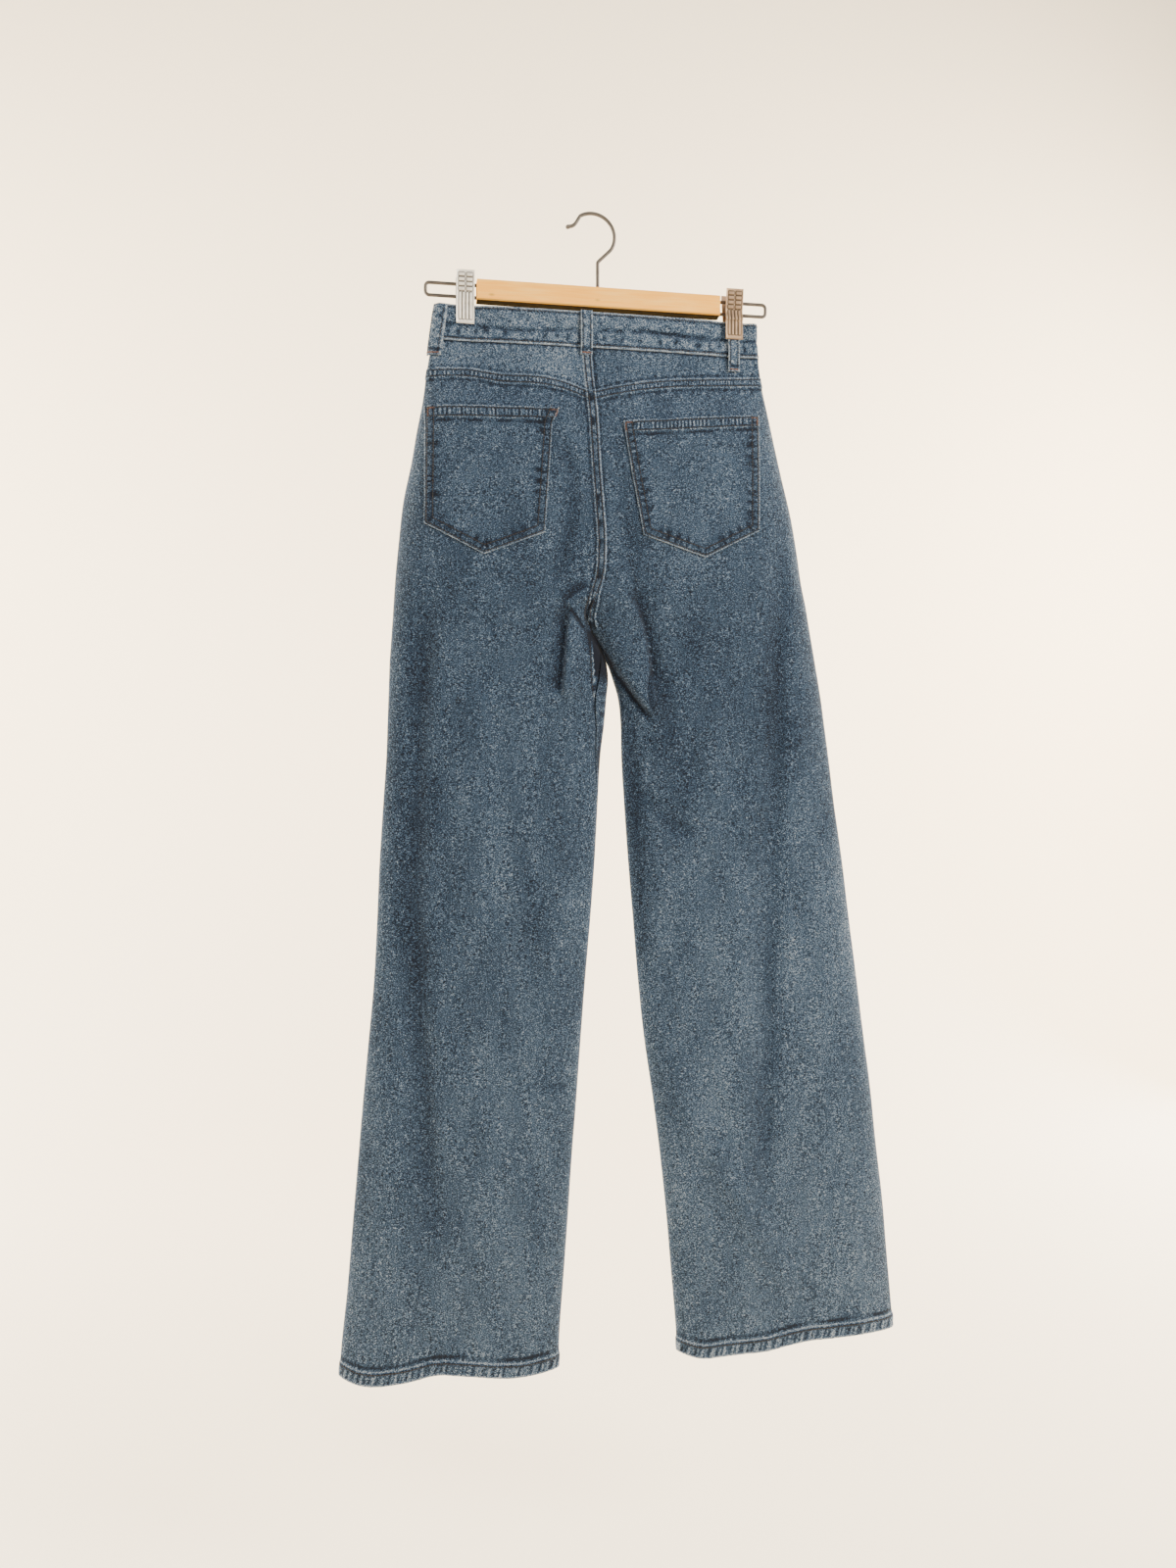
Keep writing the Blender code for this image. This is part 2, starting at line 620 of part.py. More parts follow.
def back_pocket(side, middle, out):
    """A patch pocket: the back panel's own points moved out, cut to the pocket's outline."""
    outline = POCKET_LEFT if side == "left" else POCKET_RIGHT
    rows = [r for r, level in enumerate(BACK_ROWS) if 190 < level < 372]
    first, last = rows[0], rows[-1] + 1
    patch, raised = middle[first:last], out[first:last].copy()
    raised[:] = CLOTH / 2
    cloth = wall(f"back_pocket_{side}", patch, raised + LIE_GAP, raised + LIE_GAP + POCKET_CLOTH)
    cutter_points = [(x, y, -drop) for y in (-60.0, -0.8) for x, drop in outline]
    count = len(outline)
    faces = [tuple(range(count)), tuple(range(2 * count - 1, count - 1, -1))]
    faces += [(k, (k + 1) % count, (k + 1) % count + count, k + count) for k in range(count)]
    cutter = add_mesh(f"pocket_outline_{side}", cutter_points, faces, "denim")
    cutter.hide_render = True
    cutter.display_type = "WIRE"
    cut = cloth.modifiers.new("outline", "BOOLEAN")
    cut.operation = "INTERSECT"
    cut.object = cutter


def button():
    """A shank button on the waistband's lapped end, turned about its own axis."""
    x = -7.0
    drop = WAIST_TOP + float(front_dip(x)) + BAND_HEIGHT / 2
    base = surface_y("front", x, drop, LIE_GAP)
    shank = ((0.0, 0.0), (3.2, 0.0), (3.2, 1.6))
    rim = ((BUTTON_RADIUS, 1.8), (BUTTON_RADIUS, 3.2), (7.3, 4.0), (6.0, 3.4), (0.0, 3.2))
    turned("button", shank + rim, (x, base, -drop), "brass")


def turned(name, profile, base, finish, steps=20):
    """A profile of (radius, height) turned about the +Y axis through base."""
    points, faces = [], []
    rings = []
    for radius, height in profile:
        ring = []
        for k in range(steps if radius > 0 else 1):
            turn = 2 * math.pi * k / steps
            x, z = base[0] + radius * math.cos(turn), base[2] + radius * math.sin(turn)
            ring.append(len(points))
            points.append((x, base[1] + height, z))
        rings.append(ring)
    for low, high in zip(rings, rings[1:]):
        for k in range(steps):
            a, b = low[k % len(low)], low[(k + 1) % len(low)]
            c, d = high[(k + 1) % len(high)], high[k % len(high)]
            faces.append(tuple(dict.fromkeys((a, b, c, d))))
    add_mesh(name, points, faces, finish, smooth=True)


def bent_wire(name, path, diameter, sides=8, finish="steel", taper=None):
    """A round wire along a path in the plane of the hanger."""
    path = np.array(path, float)
    heading = np.gradient(path, axis=0)
    heading /= np.linalg.norm(heading, axis=1, keepdims=True)
    radii = np.full(len(path), diameter / 2) if taper is None else np.array(taper)
    points, faces = [], []
    for (x, z), (hx, hz), radius in zip(path, heading, radii):
        for k in range(sides):
            turn = 2 * math.pi * (k + 0.5) / sides
            side, deep = radius * math.cos(turn), radius * math.sin(turn)
            points.append((x - hz * side, deep, z + hx * side))
    for r in range(len(path) - 1):
        for k in range(sides):
            a, b = r * sides + k, r * sides + (k + 1) % sides
            faces.append((a, b, b + sides, a + sides))
    faces.append(tuple(range(sides)))
    faces.append(tuple(range(len(points) - sides, len(points))))
    return add_mesh(name, points, faces, finish, smooth=True)


def arc(centre, radius, start, end, steps):
    """Points on an arc, in degrees."""
    turns = np.radians(np.linspace(start, end, steps + 1))
    return [(centre[0] + radius * math.cos(t), centre[1] + radius * math.sin(t)) for t in turns]


def rounded(points, steps=4):
    """A smooth line through a few points."""
    points = np.array(points, float)
    place = np.arange(len(points))
    at = np.linspace(0, len(points) - 1, (len(points) - 1) * steps + 1)
    curves = [through(np.stack([place, points[:, k]], axis=1), at) for k in range(2)]
    return np.stack(curves, axis=1).tolist()


def hook():
    """The wire hook: a shank, a bend, most of a circle and an outward tail with a ball tip."""
    centre = (0.0, HOOK_WIRE / 2 - HOOK_RADIUS)
    circle = arc(centre, HOOK_RADIUS, HOOK_START_DEG, HOOK_END_DEG, 20)
    start = circle[0]
    shank = [(SHANK_X, -BAR_TOP - SHANK_DEPTH_IN_BAR), (SHANK_X, -BAR_TOP), (SHANK_X, -SHANK_BEND_DROP - 6)]
    elbow = [(SHANK_X, -SHANK_BEND_DROP - 3), (SHANK_X + 1.6, -SHANK_BEND_DROP)]
    elbow.append((start[0] - 4.0, start[1] - 4.6))
    bend = rounded(elbow, 3)
    tail = rounded([circle[-1]] + list(HOOK_TAIL), 3)[1:]
    path = shank + bend + circle + tail
    heading = np.array(path[-1]) - np.array(path[-2])
    heading = heading / np.linalg.norm(heading)
    tip = np.array(path[-1])
    radii = [HOOK_WIRE / 2] * len(path)
    for forward, radius in ((0.7, 1.9), (1.6, HOOK_BALL), (2.9, HOOK_BALL), (3.9, 1.6), (4.3, 0.7)):
        path.append(tuple(tip + heading * forward))
        radii.append(radius)
    bent_wire("hanger_hook", path, HOOK_WIRE, taper=radii)


def wire_loop(name, inside_x, outside_x):
    """A U of wire whose two legs go into the bar's end."""
    towards = 1 if outside_x > inside_x else -1
    far = outside_x - towards * LOOP_WIRE / 2
    corner = far - towards * LOOP_CORNER
    if towards > 0:
        top_turn = arc((corner, -LOOP_TOP - LOOP_CORNER), LOOP_CORNER, 90, 0, 4)
        low_turn = arc((corner, -LOOP_BOTTOM + LOOP_CORNER), LOOP_CORNER, 0, -90, 4)
    else:
        top_turn = arc((corner, -LOOP_TOP - LOOP_CORNER), LOOP_CORNER, 90, 180, 4)
        low_turn = arc((corner, -LOOP_BOTTOM + LOOP_CORNER), LOOP_CORNER, 180, 270, 4)
    leg = [inside_x, inside_x + towards * (LOOP_IN_BAR + 3), (inside_x + corner) / 2 + towards * 6]
    path = [(x, -LOOP_TOP) for x in leg] + top_turn + low_turn + [(x, -LOOP_BOTTOM) for x in reversed(leg)]
    bent_wire(name, path, LOOP_WIRE)


def socket(name, start, end, radius):
    """A round cutter between two points of the hanger's plane."""
    return bent_wire(name, [start, end], 2 * radius, sides=12)


def bar():
    """The wood bar, with sockets for the hook and the wire loops."""
    half, edge = BAR_DEPTH / 2, 1.2
    low_y, high_y = -half + edge, half - edge
    low_z, high_z = -BAR_BOTTOM + edge, -BAR_TOP - edge
    outline = [(-half, low_z), (-half, high_z), (low_y, -BAR_TOP), (high_y, -BAR_TOP)]
    outline += [(half, high_z), (half, low_z), (high_y, -BAR_BOTTOM), (low_y, -BAR_BOTTOM)]
    count = len(outline)
    points = [(x, y, z) for x in (BAR_LEFT, BAR_RIGHT) for y, z in outline]
    faces = [tuple(range(count)), tuple(range(2 * count - 1, count - 1, -1))]
    faces += [(k, (k + 1) % count, (k + 1) % count + count, k + count) for k in range(count)]
    body = add_mesh("hanger_bar", points, faces, "wood")
    hole = HOOK_WIRE / 2 + SOCKET_CLEARANCE
    loop_hole = LOOP_WIRE / 2 + SOCKET_CLEARANCE
    deep = LOOP_IN_BAR + SOCKET_CLEARANCE
    foot = -BAR_TOP - SHANK_DEPTH_IN_BAR - SOCKET_CLEARANCE
    cutters = [socket("cut_hook", (SHANK_X, -BAR_TOP + 5), (SHANK_X, foot), hole)]
    for k, drop in enumerate((LOOP_TOP, LOOP_BOTTOM)):
        left_end, right_end = (BAR_LEFT - 5, -drop), (BAR_RIGHT + 5, -drop)
        cutters.append(socket(f"cut_left_{k}", left_end, (BAR_LEFT + deep, -drop), loop_hole))
        cutters.append(socket(f"cut_right_{k}", right_end, (BAR_RIGHT - deep, -drop), loop_hole))
    for cutter in cutters:
        cutter.hide_render = True
        cutter.display_type = "WIRE"
        cut = body.modifiers.new(cutter.name, "BOOLEAN")
        cut.operation = "DIFFERENCE"
        cut.object = cutter


def clip_jaw(name, x, facing, jaw_y):
    """A pressed-metal jaw. facing is -1 on the back of the jeans and 1 on the front."""
    lever = ((10.2, CLIP_TOP), (9.3, 76.0), (7.5, 85.0), (6.2, 91.0))
    grip = ((jaw_y + 1.0, 99.0), (jaw_y, 103.0), (jaw_y, 117.5), (jaw_y + 0.5, CLIP_BOTTOM))
    left, right = x - CLIP_WIDTH / 2, x + CLIP_WIDTH / 2
    line = rounded(lever + grip, 2)
    middle = [[(left, facing * y, -drop), (right, facing * y, -drop)] for y, drop in line]
    if facing > 0:
        middle = [row[::-1] for row in middle]
    wall(name, np.array(middle), -CLIP_SHEET / 2, CLIP_SHEET / 2, "steel")


def clip_core(name, x):
    """The block that rides in the wire loop and carries both jaws."""
    half_x, half_y = CLIP_CORE_WIDTH / 2, CLIP_CORE_DEPTH / 2
    gap = LOOP_WIRE / 2 + SOCKET_CLEARANCE
    low, high = -LOOP_BOTTOM + gap, -LOOP_TOP - gap
    builder = bmesh.new()
    bmesh.ops.create_cube(builder, size=1)
    for vertex in builder.verts:
        vertex.co.x = x + 2 * half_x * vertex.co.x
        vertex.co.y = 2 * half_y * vertex.co.y
        vertex.co.z = (low + high) / 2 + (high - low) * vertex.co.z
    points = [tuple(v.co) for v in builder.verts]
    faces = [tuple(v.index for v in f.verts) for f in builder.faces]
    builder.free()
    add_mesh(name, points, faces, "steel")


def clip(side, x, over_loop):
    """Both jaws of one clip. The right back jaw also closes over a belt loop."""
    jaw = BAND + 0.3 + LIE_GAP + CLIP_SHEET / 2
    back_jaw = jaw + (LIE_GAP + 0.25 + LOOP_CLOTH + 1.3 if over_loop else 0.0)
    clip_jaw(f"clip_{side}_back_jaw", x, -1, back_jaw)
    clip_jaw(f"clip_{side}_front_jaw", x, 1, jaw)
    clip_core(f"clip_{side}_core", x)


def main():
    for old in list(bpy.data.objects):
        bpy.data.objects.remove(old)
    for side in ("left", "right"):
        middle, out = back_panel(side)
        back_pocket(side, middle, out)
        back_yoke(side)
        front_panel(side)
        pocket_facing(side)
    waistband()
    edge_loop("belt_loop_left_back", "left", WAIST_TOP + 1.5, 154.0)
    belt_loop("belt_loop_centre", "back", -6.8, WAIST_TOP - 0.5, 145.5)
    belt_loop("belt_loop_right_back", "back", 148.4, WAIST_TOP + 0.5, 153.0)
    belt_loop("belt_loop_left_front", "front", -82.0, WAIST_TOP + float(front_dip(-82.0)), 158.0)
    belt_loop("belt_loop_right_front", "front", 96.0, WAIST_TOP + float(front_dip(96.0)), 158.0)
    button()
    hook()
    bar()
    wire_loop("hanger_wire_left", BAR_LEFT + LOOP_IN_BAR, LOOP_LEFT_END)
    wire_loop("hanger_wire_right", BAR_RIGHT - LOOP_IN_BAR, LOOP_RIGHT_END)
    clip("left", CLIP_LEFT_X, over_loop=False)
    clip("right", CLIP_RIGHT_X, over_loop=True)


main()
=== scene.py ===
"""Wide-leg jeans, seen from the back, clipped by the waistband to a wood and wire skirt hanger.

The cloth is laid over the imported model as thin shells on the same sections, in millimetres, with its
creases, raised seams, puckers and sewing. Heights are a drop below the hook.
"""

import math

import bpy
import numpy as np
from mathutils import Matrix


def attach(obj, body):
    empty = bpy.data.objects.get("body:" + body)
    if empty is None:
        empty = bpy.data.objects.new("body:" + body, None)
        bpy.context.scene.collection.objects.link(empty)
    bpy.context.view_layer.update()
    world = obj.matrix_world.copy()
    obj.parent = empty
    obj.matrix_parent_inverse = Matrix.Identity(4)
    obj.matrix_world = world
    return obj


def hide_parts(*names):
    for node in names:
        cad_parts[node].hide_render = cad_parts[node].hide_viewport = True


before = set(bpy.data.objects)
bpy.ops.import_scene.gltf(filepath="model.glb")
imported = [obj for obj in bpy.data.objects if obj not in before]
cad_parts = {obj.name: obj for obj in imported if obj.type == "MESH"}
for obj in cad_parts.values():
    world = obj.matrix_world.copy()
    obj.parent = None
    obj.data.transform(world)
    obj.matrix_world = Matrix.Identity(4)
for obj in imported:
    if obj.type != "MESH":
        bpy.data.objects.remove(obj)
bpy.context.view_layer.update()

MM = 0.001

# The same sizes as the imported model
CLOTH = 1.4
BAND = 2.6
LOOP_CLOTH = 1.5
SEAM_GAP = 0.4
LIE_GAP = 0.35
HEM_RAISE = 1.0
WAIST_TOP = 101.5
BAND_HEIGHT = 36.0
WAIST_SEAM = WAIST_TOP + BAND_HEIGHT
CROTCH = 425.0
FRONT_DIP, FRONT_MIDDLE_X, FRONT_HALF_WIDTH = 11.0, 8.0, 166.0
POCKET_SCOOP_WIDTH = 84.0
POCKET_SCOOP_DROP = 64.0
FLY_LENGTH = 150.0
FLY_LAP = 4.0
SIDE_SEAM_TURN, CENTRE_TURN = 0.12, 0.004
CENTRE_X = -6.4
CLIP_WIDTH = 18.0
CLIP_SHEET = 1.2
CLIP_TOP, CLIP_BOTTOM = 69.0, 120.0
CLIP_LEFT_X, CLIP_RIGHT_X = -129.0, 148.2
BACK_TOP = 174.0
HEM_DROP = 1165.0
HEM_STRETCH = (1060, 1151)
HOOK_RADIUS, HOOK_WIRE_RADIUS, STEM_X = 23.3, 1.85, 5.8
WIRE_TOP, WIRE_LOW, WIRE_BEND, WIRE_RADIUS = -80.0, -92.5, 4.0, 1.7
HOOK_END = ((0.5, 1.9), (1.0, 2.1), (1.8, 2.25), (2.6, 2.1), (3.4, 1.75), (4.0, 1.1), (4.3, 0.4))
WIRE_ENDS = {"left": (-117.5, -169.8), "right": (133.2, 185.2)}

# How far the sewing's rows and the seams' bands lie from their edges
SEAM_ROWS = (1.9, 8.1)
HEM_ROW = 11.6
CENTRE_BAND = 9.2
YOKE_BAND = 10.0
INSIDE_TONE = 0.25

# The camera, fitted to the photograph
CAMERA_YAW, CAMERA_DISTANCE, CAMERA_ASIDE, CAMERA_HEIGHT = 9.4, 1.202, 0.004, -0.5805
FOCAL_PIXELS, PHOTO_PIXELS, SENSOR = 1202, 1600, 36.0

SECTION_COLUMNS = ("drop", "left_outer", "left_inner", "right_inner", "right_outer", "back", "front")
SECTIONS = (
    (100, -156.5, -6.4, -6.4, 173.0, 6.0, 5.0),
    (140, -161.7, -6.4, -6.4, 175.4, 9.0, 6.5),
    (170, -166.5, -4.3, -4.3, 179.7, 12.0, 8.0),
    (200, -170.5, -1.8, -1.8, 186.5, 14.5, 9.0),
    (230, -176.3, -0.1, -0.1, 193.2, 16.5, 10.0),
    (260, -181.3, 1.4, 1.4, 200.2, 18.0, 10.5),
    (300, -189.5, 4.4, 4.4, 210.0, 19.0, 11.0),
    (340, -194.0, 6.6, 6.6, 217.2, 19.5, 11.0),
    (375, -197.3, 3.5, 3.5, 222.5, 19.5, 11.0),
    (395, -198.7, -3.9, -3.9, 226.9, 19.0, 11.0),
    (410, -199.6, -7.0, -7.0, 229.5, 18.5, 10.5),
    (425, -200.6, -0.5, -0.5, 232.1, 17.5, 10.0),
    (440, -201.6, 8.0, 8.6, 234.8, 17.0, 10.0),
    (460, -203.0, 15.5, 16.5, 238.3, 16.5, 9.5),
    (475, -203.5, 17.0, 21.5, 241.0, 16.2, 9.5),
    (490, -204.0, 15.5, 26.0, 243.5, 16.0, 9.5),
    (520, -205.0, 12.8, 29.5, 247.6, 15.5, 9.0),
    (550, -206.0, 9.1, 30.0, 251.8, 15.0, 9.0),
    (600, -209.2, 6.2, 33.0, 258.1, 15.0, 9.0),
    (660, -212.9, 2.9, 37.3, 267.0, 14.5, 9.0),
    (720, -215.4, -1.6, 42.4, 274.5, 14.5, 9.0),
    (780, -218.6, -6.8, 47.4, 282.6, 14.0, 9.0),
    (840, -224.0, -11.4, 53.8, 290.2, 14.0, 9.5),
    (900, -229.4, -15.8, 62.7, 298.4, 14.0, 9.5),
    (960, -234.4, -20.6, 70.5, 304.8, 14.0, 9.5),
    (1020, -239.3, -24.6, 77.0, 312.1, 14.5, 10.0),
    (1080, -244.2, -29.0, 82.2, 317.3, 15.0, 10.0),
    (1140, -250.3, -33.3, 87.3, 322.6, 15.0, 10.5),
    (1200, -253.0, -34.5, 91.0, 327.0, 15.0, 10.5),
)
FRONT_CENTRE = ((100, 3.0), (200, 3.0), (340, 2.0), (CROTCH, -0.5))
YOKE = {
    "left": (
        (0.0, 167.6), (0.27, 166.0), (0.42, 169.3), (0.73, 170.6), (0.85, 174.5), (0.93, 179.5),
        (1.0, 184.0),
    ),
    "right": ((0.0, 157.5), (0.3, 162.0), (0.6, 167.3), (0.82, 174.8), (1.0, 183.5)),
}
HEM = {
    "left": (
        (0.0, 1162.0), (0.1, 1169.5), (0.27, 1168.7), (0.42, 1163.7), (0.6, 1167.6), (0.78, 1172.5),
        (1.0, 1170.0),
    ),
    "right": (
        (0.0, 1155.6), (0.24, 1157.5), (0.45, 1159.5), (0.6, 1165.0), (0.8, 1168.0), (0.92, 1169.3),
        (1.0, 1164.0),
    ),
}
INSEAM = {
    "left": (
        (CROTCH, 0.0), (458, 0.24), (485, 0.31), (530, 0.25), (580, 0.14), (620, 0.02), (720, -0.1),
        (1200, -0.14),
    ),
    "right": (
        (CROTCH, 0.0), (460, 0.10), (500, 0.12), (530, 0.07), (570, -0.02), (720, -0.14), (1200, -0.16),
    ),
}
POCKET_COLUMNS = ("top_outer", "top_inner", "inner_bend", "inner_low", "tip", "outer_low")
POCKET = {
    "left": (
        (-168.5, 207.0), (-35.8, 204.0), (-42.7, 220.0), (-50.5, 329.4), (-111.6, 353.3), (-170.0, 324.0),
    ),
    "right": ((172.8, 200.2), (29.6, 213.8), (37.0, 262.0), (49.5, 328.7), (114.3, 349.7), (171.4, 320.3)),
}
POCKET_CLOTH = 1.6
INSEAM_SEWN = ((425, -3.5), (436, -2.7), (481, -0.2), (500, 1.6), (520, 2.4))

# Folds and creases: each runs along three (x, drop) points. Height is towards the viewer of that face,
# the widths are to its left and right, and shade is painted shade that darkens the cloth along its line.
FOLD_COLUMNS = ("points", "height", "width_left", "width_right", "shade")
FOLDS = {
    "back": (
        (((-166, 400), (-178, 700), (-162, 1000)), -4.5, 16.0, 10.0, 0.30),
        (((-24, 404), (-27, 440), (-31, 492)), 4.6, 1.6, 17.0, 0.0),
        (((-28, 405), (-31, 440), (-35, 486)), -2.6, 11.0, 2.0, 0.75),
        (((-26, 404), (-18, 413), (-9, 425)), -2.0, 2.4, 1.8, 1.2),
        (((-31, 409), (-20, 398), (-6, 390)), 1.4, 3.0, 4.0, 0.0),
        (((-31, 399), (-20, 388), (-7, 382)), -1.0, 1.6, 7.0, 0.75),
        (((-2, 422), (25, 461), (58, 508)), 7.0, 1.7, 20.0, 0.0),
        (((-5, 427), (20, 463), (55, 510)), -3.0, 3.0, 1.8, 1.1),
        (((-2, 428), (10, 445), (20, 460)), -1.0, 8.0, 2.0, 2.0),
        (((58, 466), (55, 486), (59, 507)), -2.2, 1.6, 6.0, 0.5),
        (((34, 386), (50, 416), (60, 472)), -1.8, 3.0, 6.0, 0.5),
        (((40, 384), (55, 426), (66, 500)), -3.4, 3.5, 13.0, 0.26),
        (((196, 330), (187, 680), (179, 990)), -3.0, 14.0, 10.0, 0.22),
        (((50, 590), (75, 615), (100, 632)), -1.8, 9.0, 9.0, 0.2),
        (((64, 860), (120, 960), (210, 1100)), 2.4, 14.0, 16.0, 0.0),
        (((38, 500), (44, 600), (52, 760)), -1.6, 6.0, 7.0, 0.3),
        (((-60, 880), (-35, 884), (-20, 878)), -1.0, 2.6, 2.6, 0.3),
        (((-30, 240), (-22, 300), (-40, 372)), -2.0, 10.0, 7.0, 0.25),
        (((22, 230), (30, 300), (40, 380)), -1.2, 8.0, 8.0, 0.15),
        (((-120, 500), (-112, 760), (-105, 1060)), 2.0, 26.0, 22.0, 0.0),
        (((120, 480), (134, 760), (168, 1080)), 2.0, 26.0, 22.0, 0.0),
    ),
    "front": (
        (((-14, 380), (-36, 410), (-72, 436)), -1.8, 5.0, 7.0, 0.3),
        (((-10, 405), (-28, 440), (-50, 486)), -2.4, 5.0, 8.0, 0.4),
        (((12, 378), (40, 405), (82, 428)), -1.8, 7.0, 5.0, 0.3),
        (((14, 410), (38, 450), (60, 500)), -2.4, 8.0, 5.0, 0.4),
        (((-128, 380), (-140, 690), (-136, 1010)), -2.6, 14.0, 10.0, 0.2),
        (((142, 360), (158, 690), (186, 1010)), -2.8, 12.0, 14.0, 0.2),
        (((-60, 560), (-74, 760), (-92, 980)), 1.8, 18.0, 22.0, 0.0),
        (((84, 540), (104, 760), (132, 990)), 1.8, 22.0, 18.0, 0.0),
    ),
}


def through(table, at):
    """A smooth curve through a table of (place, value) rows, read at one place or an array of them."""
    knots, values = np.array(table, float).T
    slopes = np.gradient(values, knots)
    at = np.clip(np.asarray(at, float), knots[0], knots[-1])
    i = np.clip(np.searchsorted(knots, at, side="right") - 1, 0, len(knots) - 2)
    span = knots[i + 1] - knots[i]
    t = (at - knots[i]) / span
    ease = t * t * (3 - 2 * t)
    into, out = t * (1 - t) ** 2, t * t * (1 - t)
    return values[i] * (1 - ease) + values[i + 1] * ease + span * (into * slopes[i] - out * slopes[i + 1])


def section(column, drop):
    k = SECTION_COLUMNS.index(column)
    return through([(row[0], row[k]) for row in SECTIONS], drop)


def step(low, high, at):
    """0 below low, 1 above high, smooth between."""
    t = np.clip((np.asarray(at, float) - low) / (high - low), 0, 1)
    return t * t * (3 - 2 * t)


def fall(low, high, at):
    """1 below low, 0 above high, smooth between."""
    return 1 - step(low, high, at)


def unit(vector):
    return vector / np.linalg.norm(vector)


def run_along(points):
    """The length along a line, up to each of its points."""
    return np.concatenate([[0], np.cumsum(np.linalg.norm(np.diff(points, axis=0), axis=1))])


def at_run(at, run, points):
    """A line's point at one length along it, or its columns at an array of them."""
    return np.array([np.interp(at, run, points[:, k]) for k in range(points.shape[1])])


def bell(at, width):
    return np.exp(-((np.asarray(at, float) / width) ** 2))


def ripple(seed, u, v, wave_u, wave_v, count=7):
    """Smooth uneven waves over two coordinates, about -1 to 1, the same for a seed each time."""
    rng = np.random.default_rng(seed)
    total = 0.0
    for _ in range(count):
        turn, phase = rng.uniform(0.55, 1.6, 2), rng.uniform(0, 2 * math.pi, 2)
        along = 2 * math.pi * turn[0] * u / wave_u
        across = 2 * math.pi * rng.choice((-1, 1)) * turn[1] * v / wave_v
        total = total + np.sin(along + across + phase[0])
    return total / math.sqrt(count) / 1.2


def dashes(seed, along, wave, gain=1.4):
    """Uneven dark and pale marks along a line, from -1 to 1."""
    return np.clip(gain * ripple(seed, along, 0 * along, wave, 1.0), -1, 1)


def felled(across, width, marks, inner_edge=0.8, pale=0.1):
    """Tone over a band sewn along both edges: worn edges, a dark row inside each for the thread with the
    painted shade of its sewn groove, and marks between.
    """
    between = step(2.6, 3.4, across) * fall(width - 3.4, width - 2.6, across)
    rows = bell(across - 1.9, 0.75) + bell(across - width + 1.9, 0.75)
    edges = bell(across - 0.3, 0.8) + inner_edge * bell(across - width + 0.2, 0.8)
    return between * (pale + 0.6 * marks) - 0.8 * rows + 0.9 * edges


def pinch(x, drop):
    """1 where a clip presses the waist flat, and 0 away from both."""
    half = CLIP_WIDTH / 2 + 1
    near = np.minimum(np.abs(x - CLIP_LEFT_X), np.abs(x - CLIP_RIGHT_X))
    return fall(half, half + 16, near) * (1 - 0.5 * step(CLIP_BOTTOM + 1, WAIST_SEAM, drop))


def waist_depth(x, drop, edge_distance, face):
    """How far the waist's cloth stands from the middle plane: flat in the jaws, slack between them."""
    pressed, end, slack = BAND / 2 + 0.3, 3.4, {"back": 2.6, "front": 2.2}[face]
    share = np.clip((x - CLIP_LEFT_X) / (CLIP_RIGHT_X - CLIP_LEFT_X), 0, 1)
    free = end + slack * 4 * share * (1 - share)
    rounded = np.sqrt(1 - (1 - np.clip(edge_distance / end, 0, 1)) ** 2)
    return (free + (pressed - free) * pinch(x, drop)) * rounded


def fold_line(points, x, drop):
    """How far a point is across a fold's line, and how much of the fold is left there along it."""
    ends = np.array(points, float)
    direction = ends[2] - ends[0]
    length = np.linalg.norm(direction)
    direction /= length
    along = (x - ends[0, 0]) * direction[0] + (drop - ends[0, 1]) * direction[1]
    across = -(x - ends[0, 0]) * direction[1] + (drop - ends[0, 1]) * direction[0]
    middle = ends[1] - ends[0]
    bend = middle @ direction / length
    bow = -middle[0] * direction[1] + middle[1] * direction[0]
    t = np.clip(along / length, 0, 1)
    line = bow * np.where(t < bend, 1 - ((bend - t) / bend) ** 2, 1 - ((t - bend) / (1 - bend)) ** 2)
    reach = max(15.0, 0.2 * length)
    kept = step(-reach / 2, reach / 2, along) * fall(length - reach / 2, length + reach / 2, along)
    return line - across, kept


def folds(face, x, drop):
    """The folds' height, and the painted shade along their lines, at points of one face."""
    height, shade = np.zeros(np.shape(x)), np.zeros(np.shape(x))
    for fold in FOLDS[face]:
        row = dict(zip(FOLD_COLUMNS, fold))
        off, kept = fold_line(row["points"], x, drop)
        form = np.where(off < 0, bell(off, row["width_left"]), bell(off, row["width_right"])) * kept
        height = height + row["height"] * form
        shade = shade - row["shade"] * form
    return height, shade


def front_dip(x):
    """How much lower the front of the waist hangs than the back."""
    return FRONT_DIP * (1 - np.clip((x - FRONT_MIDDLE_X) / FRONT_HALF_WIDTH, -1, 1) ** 2)


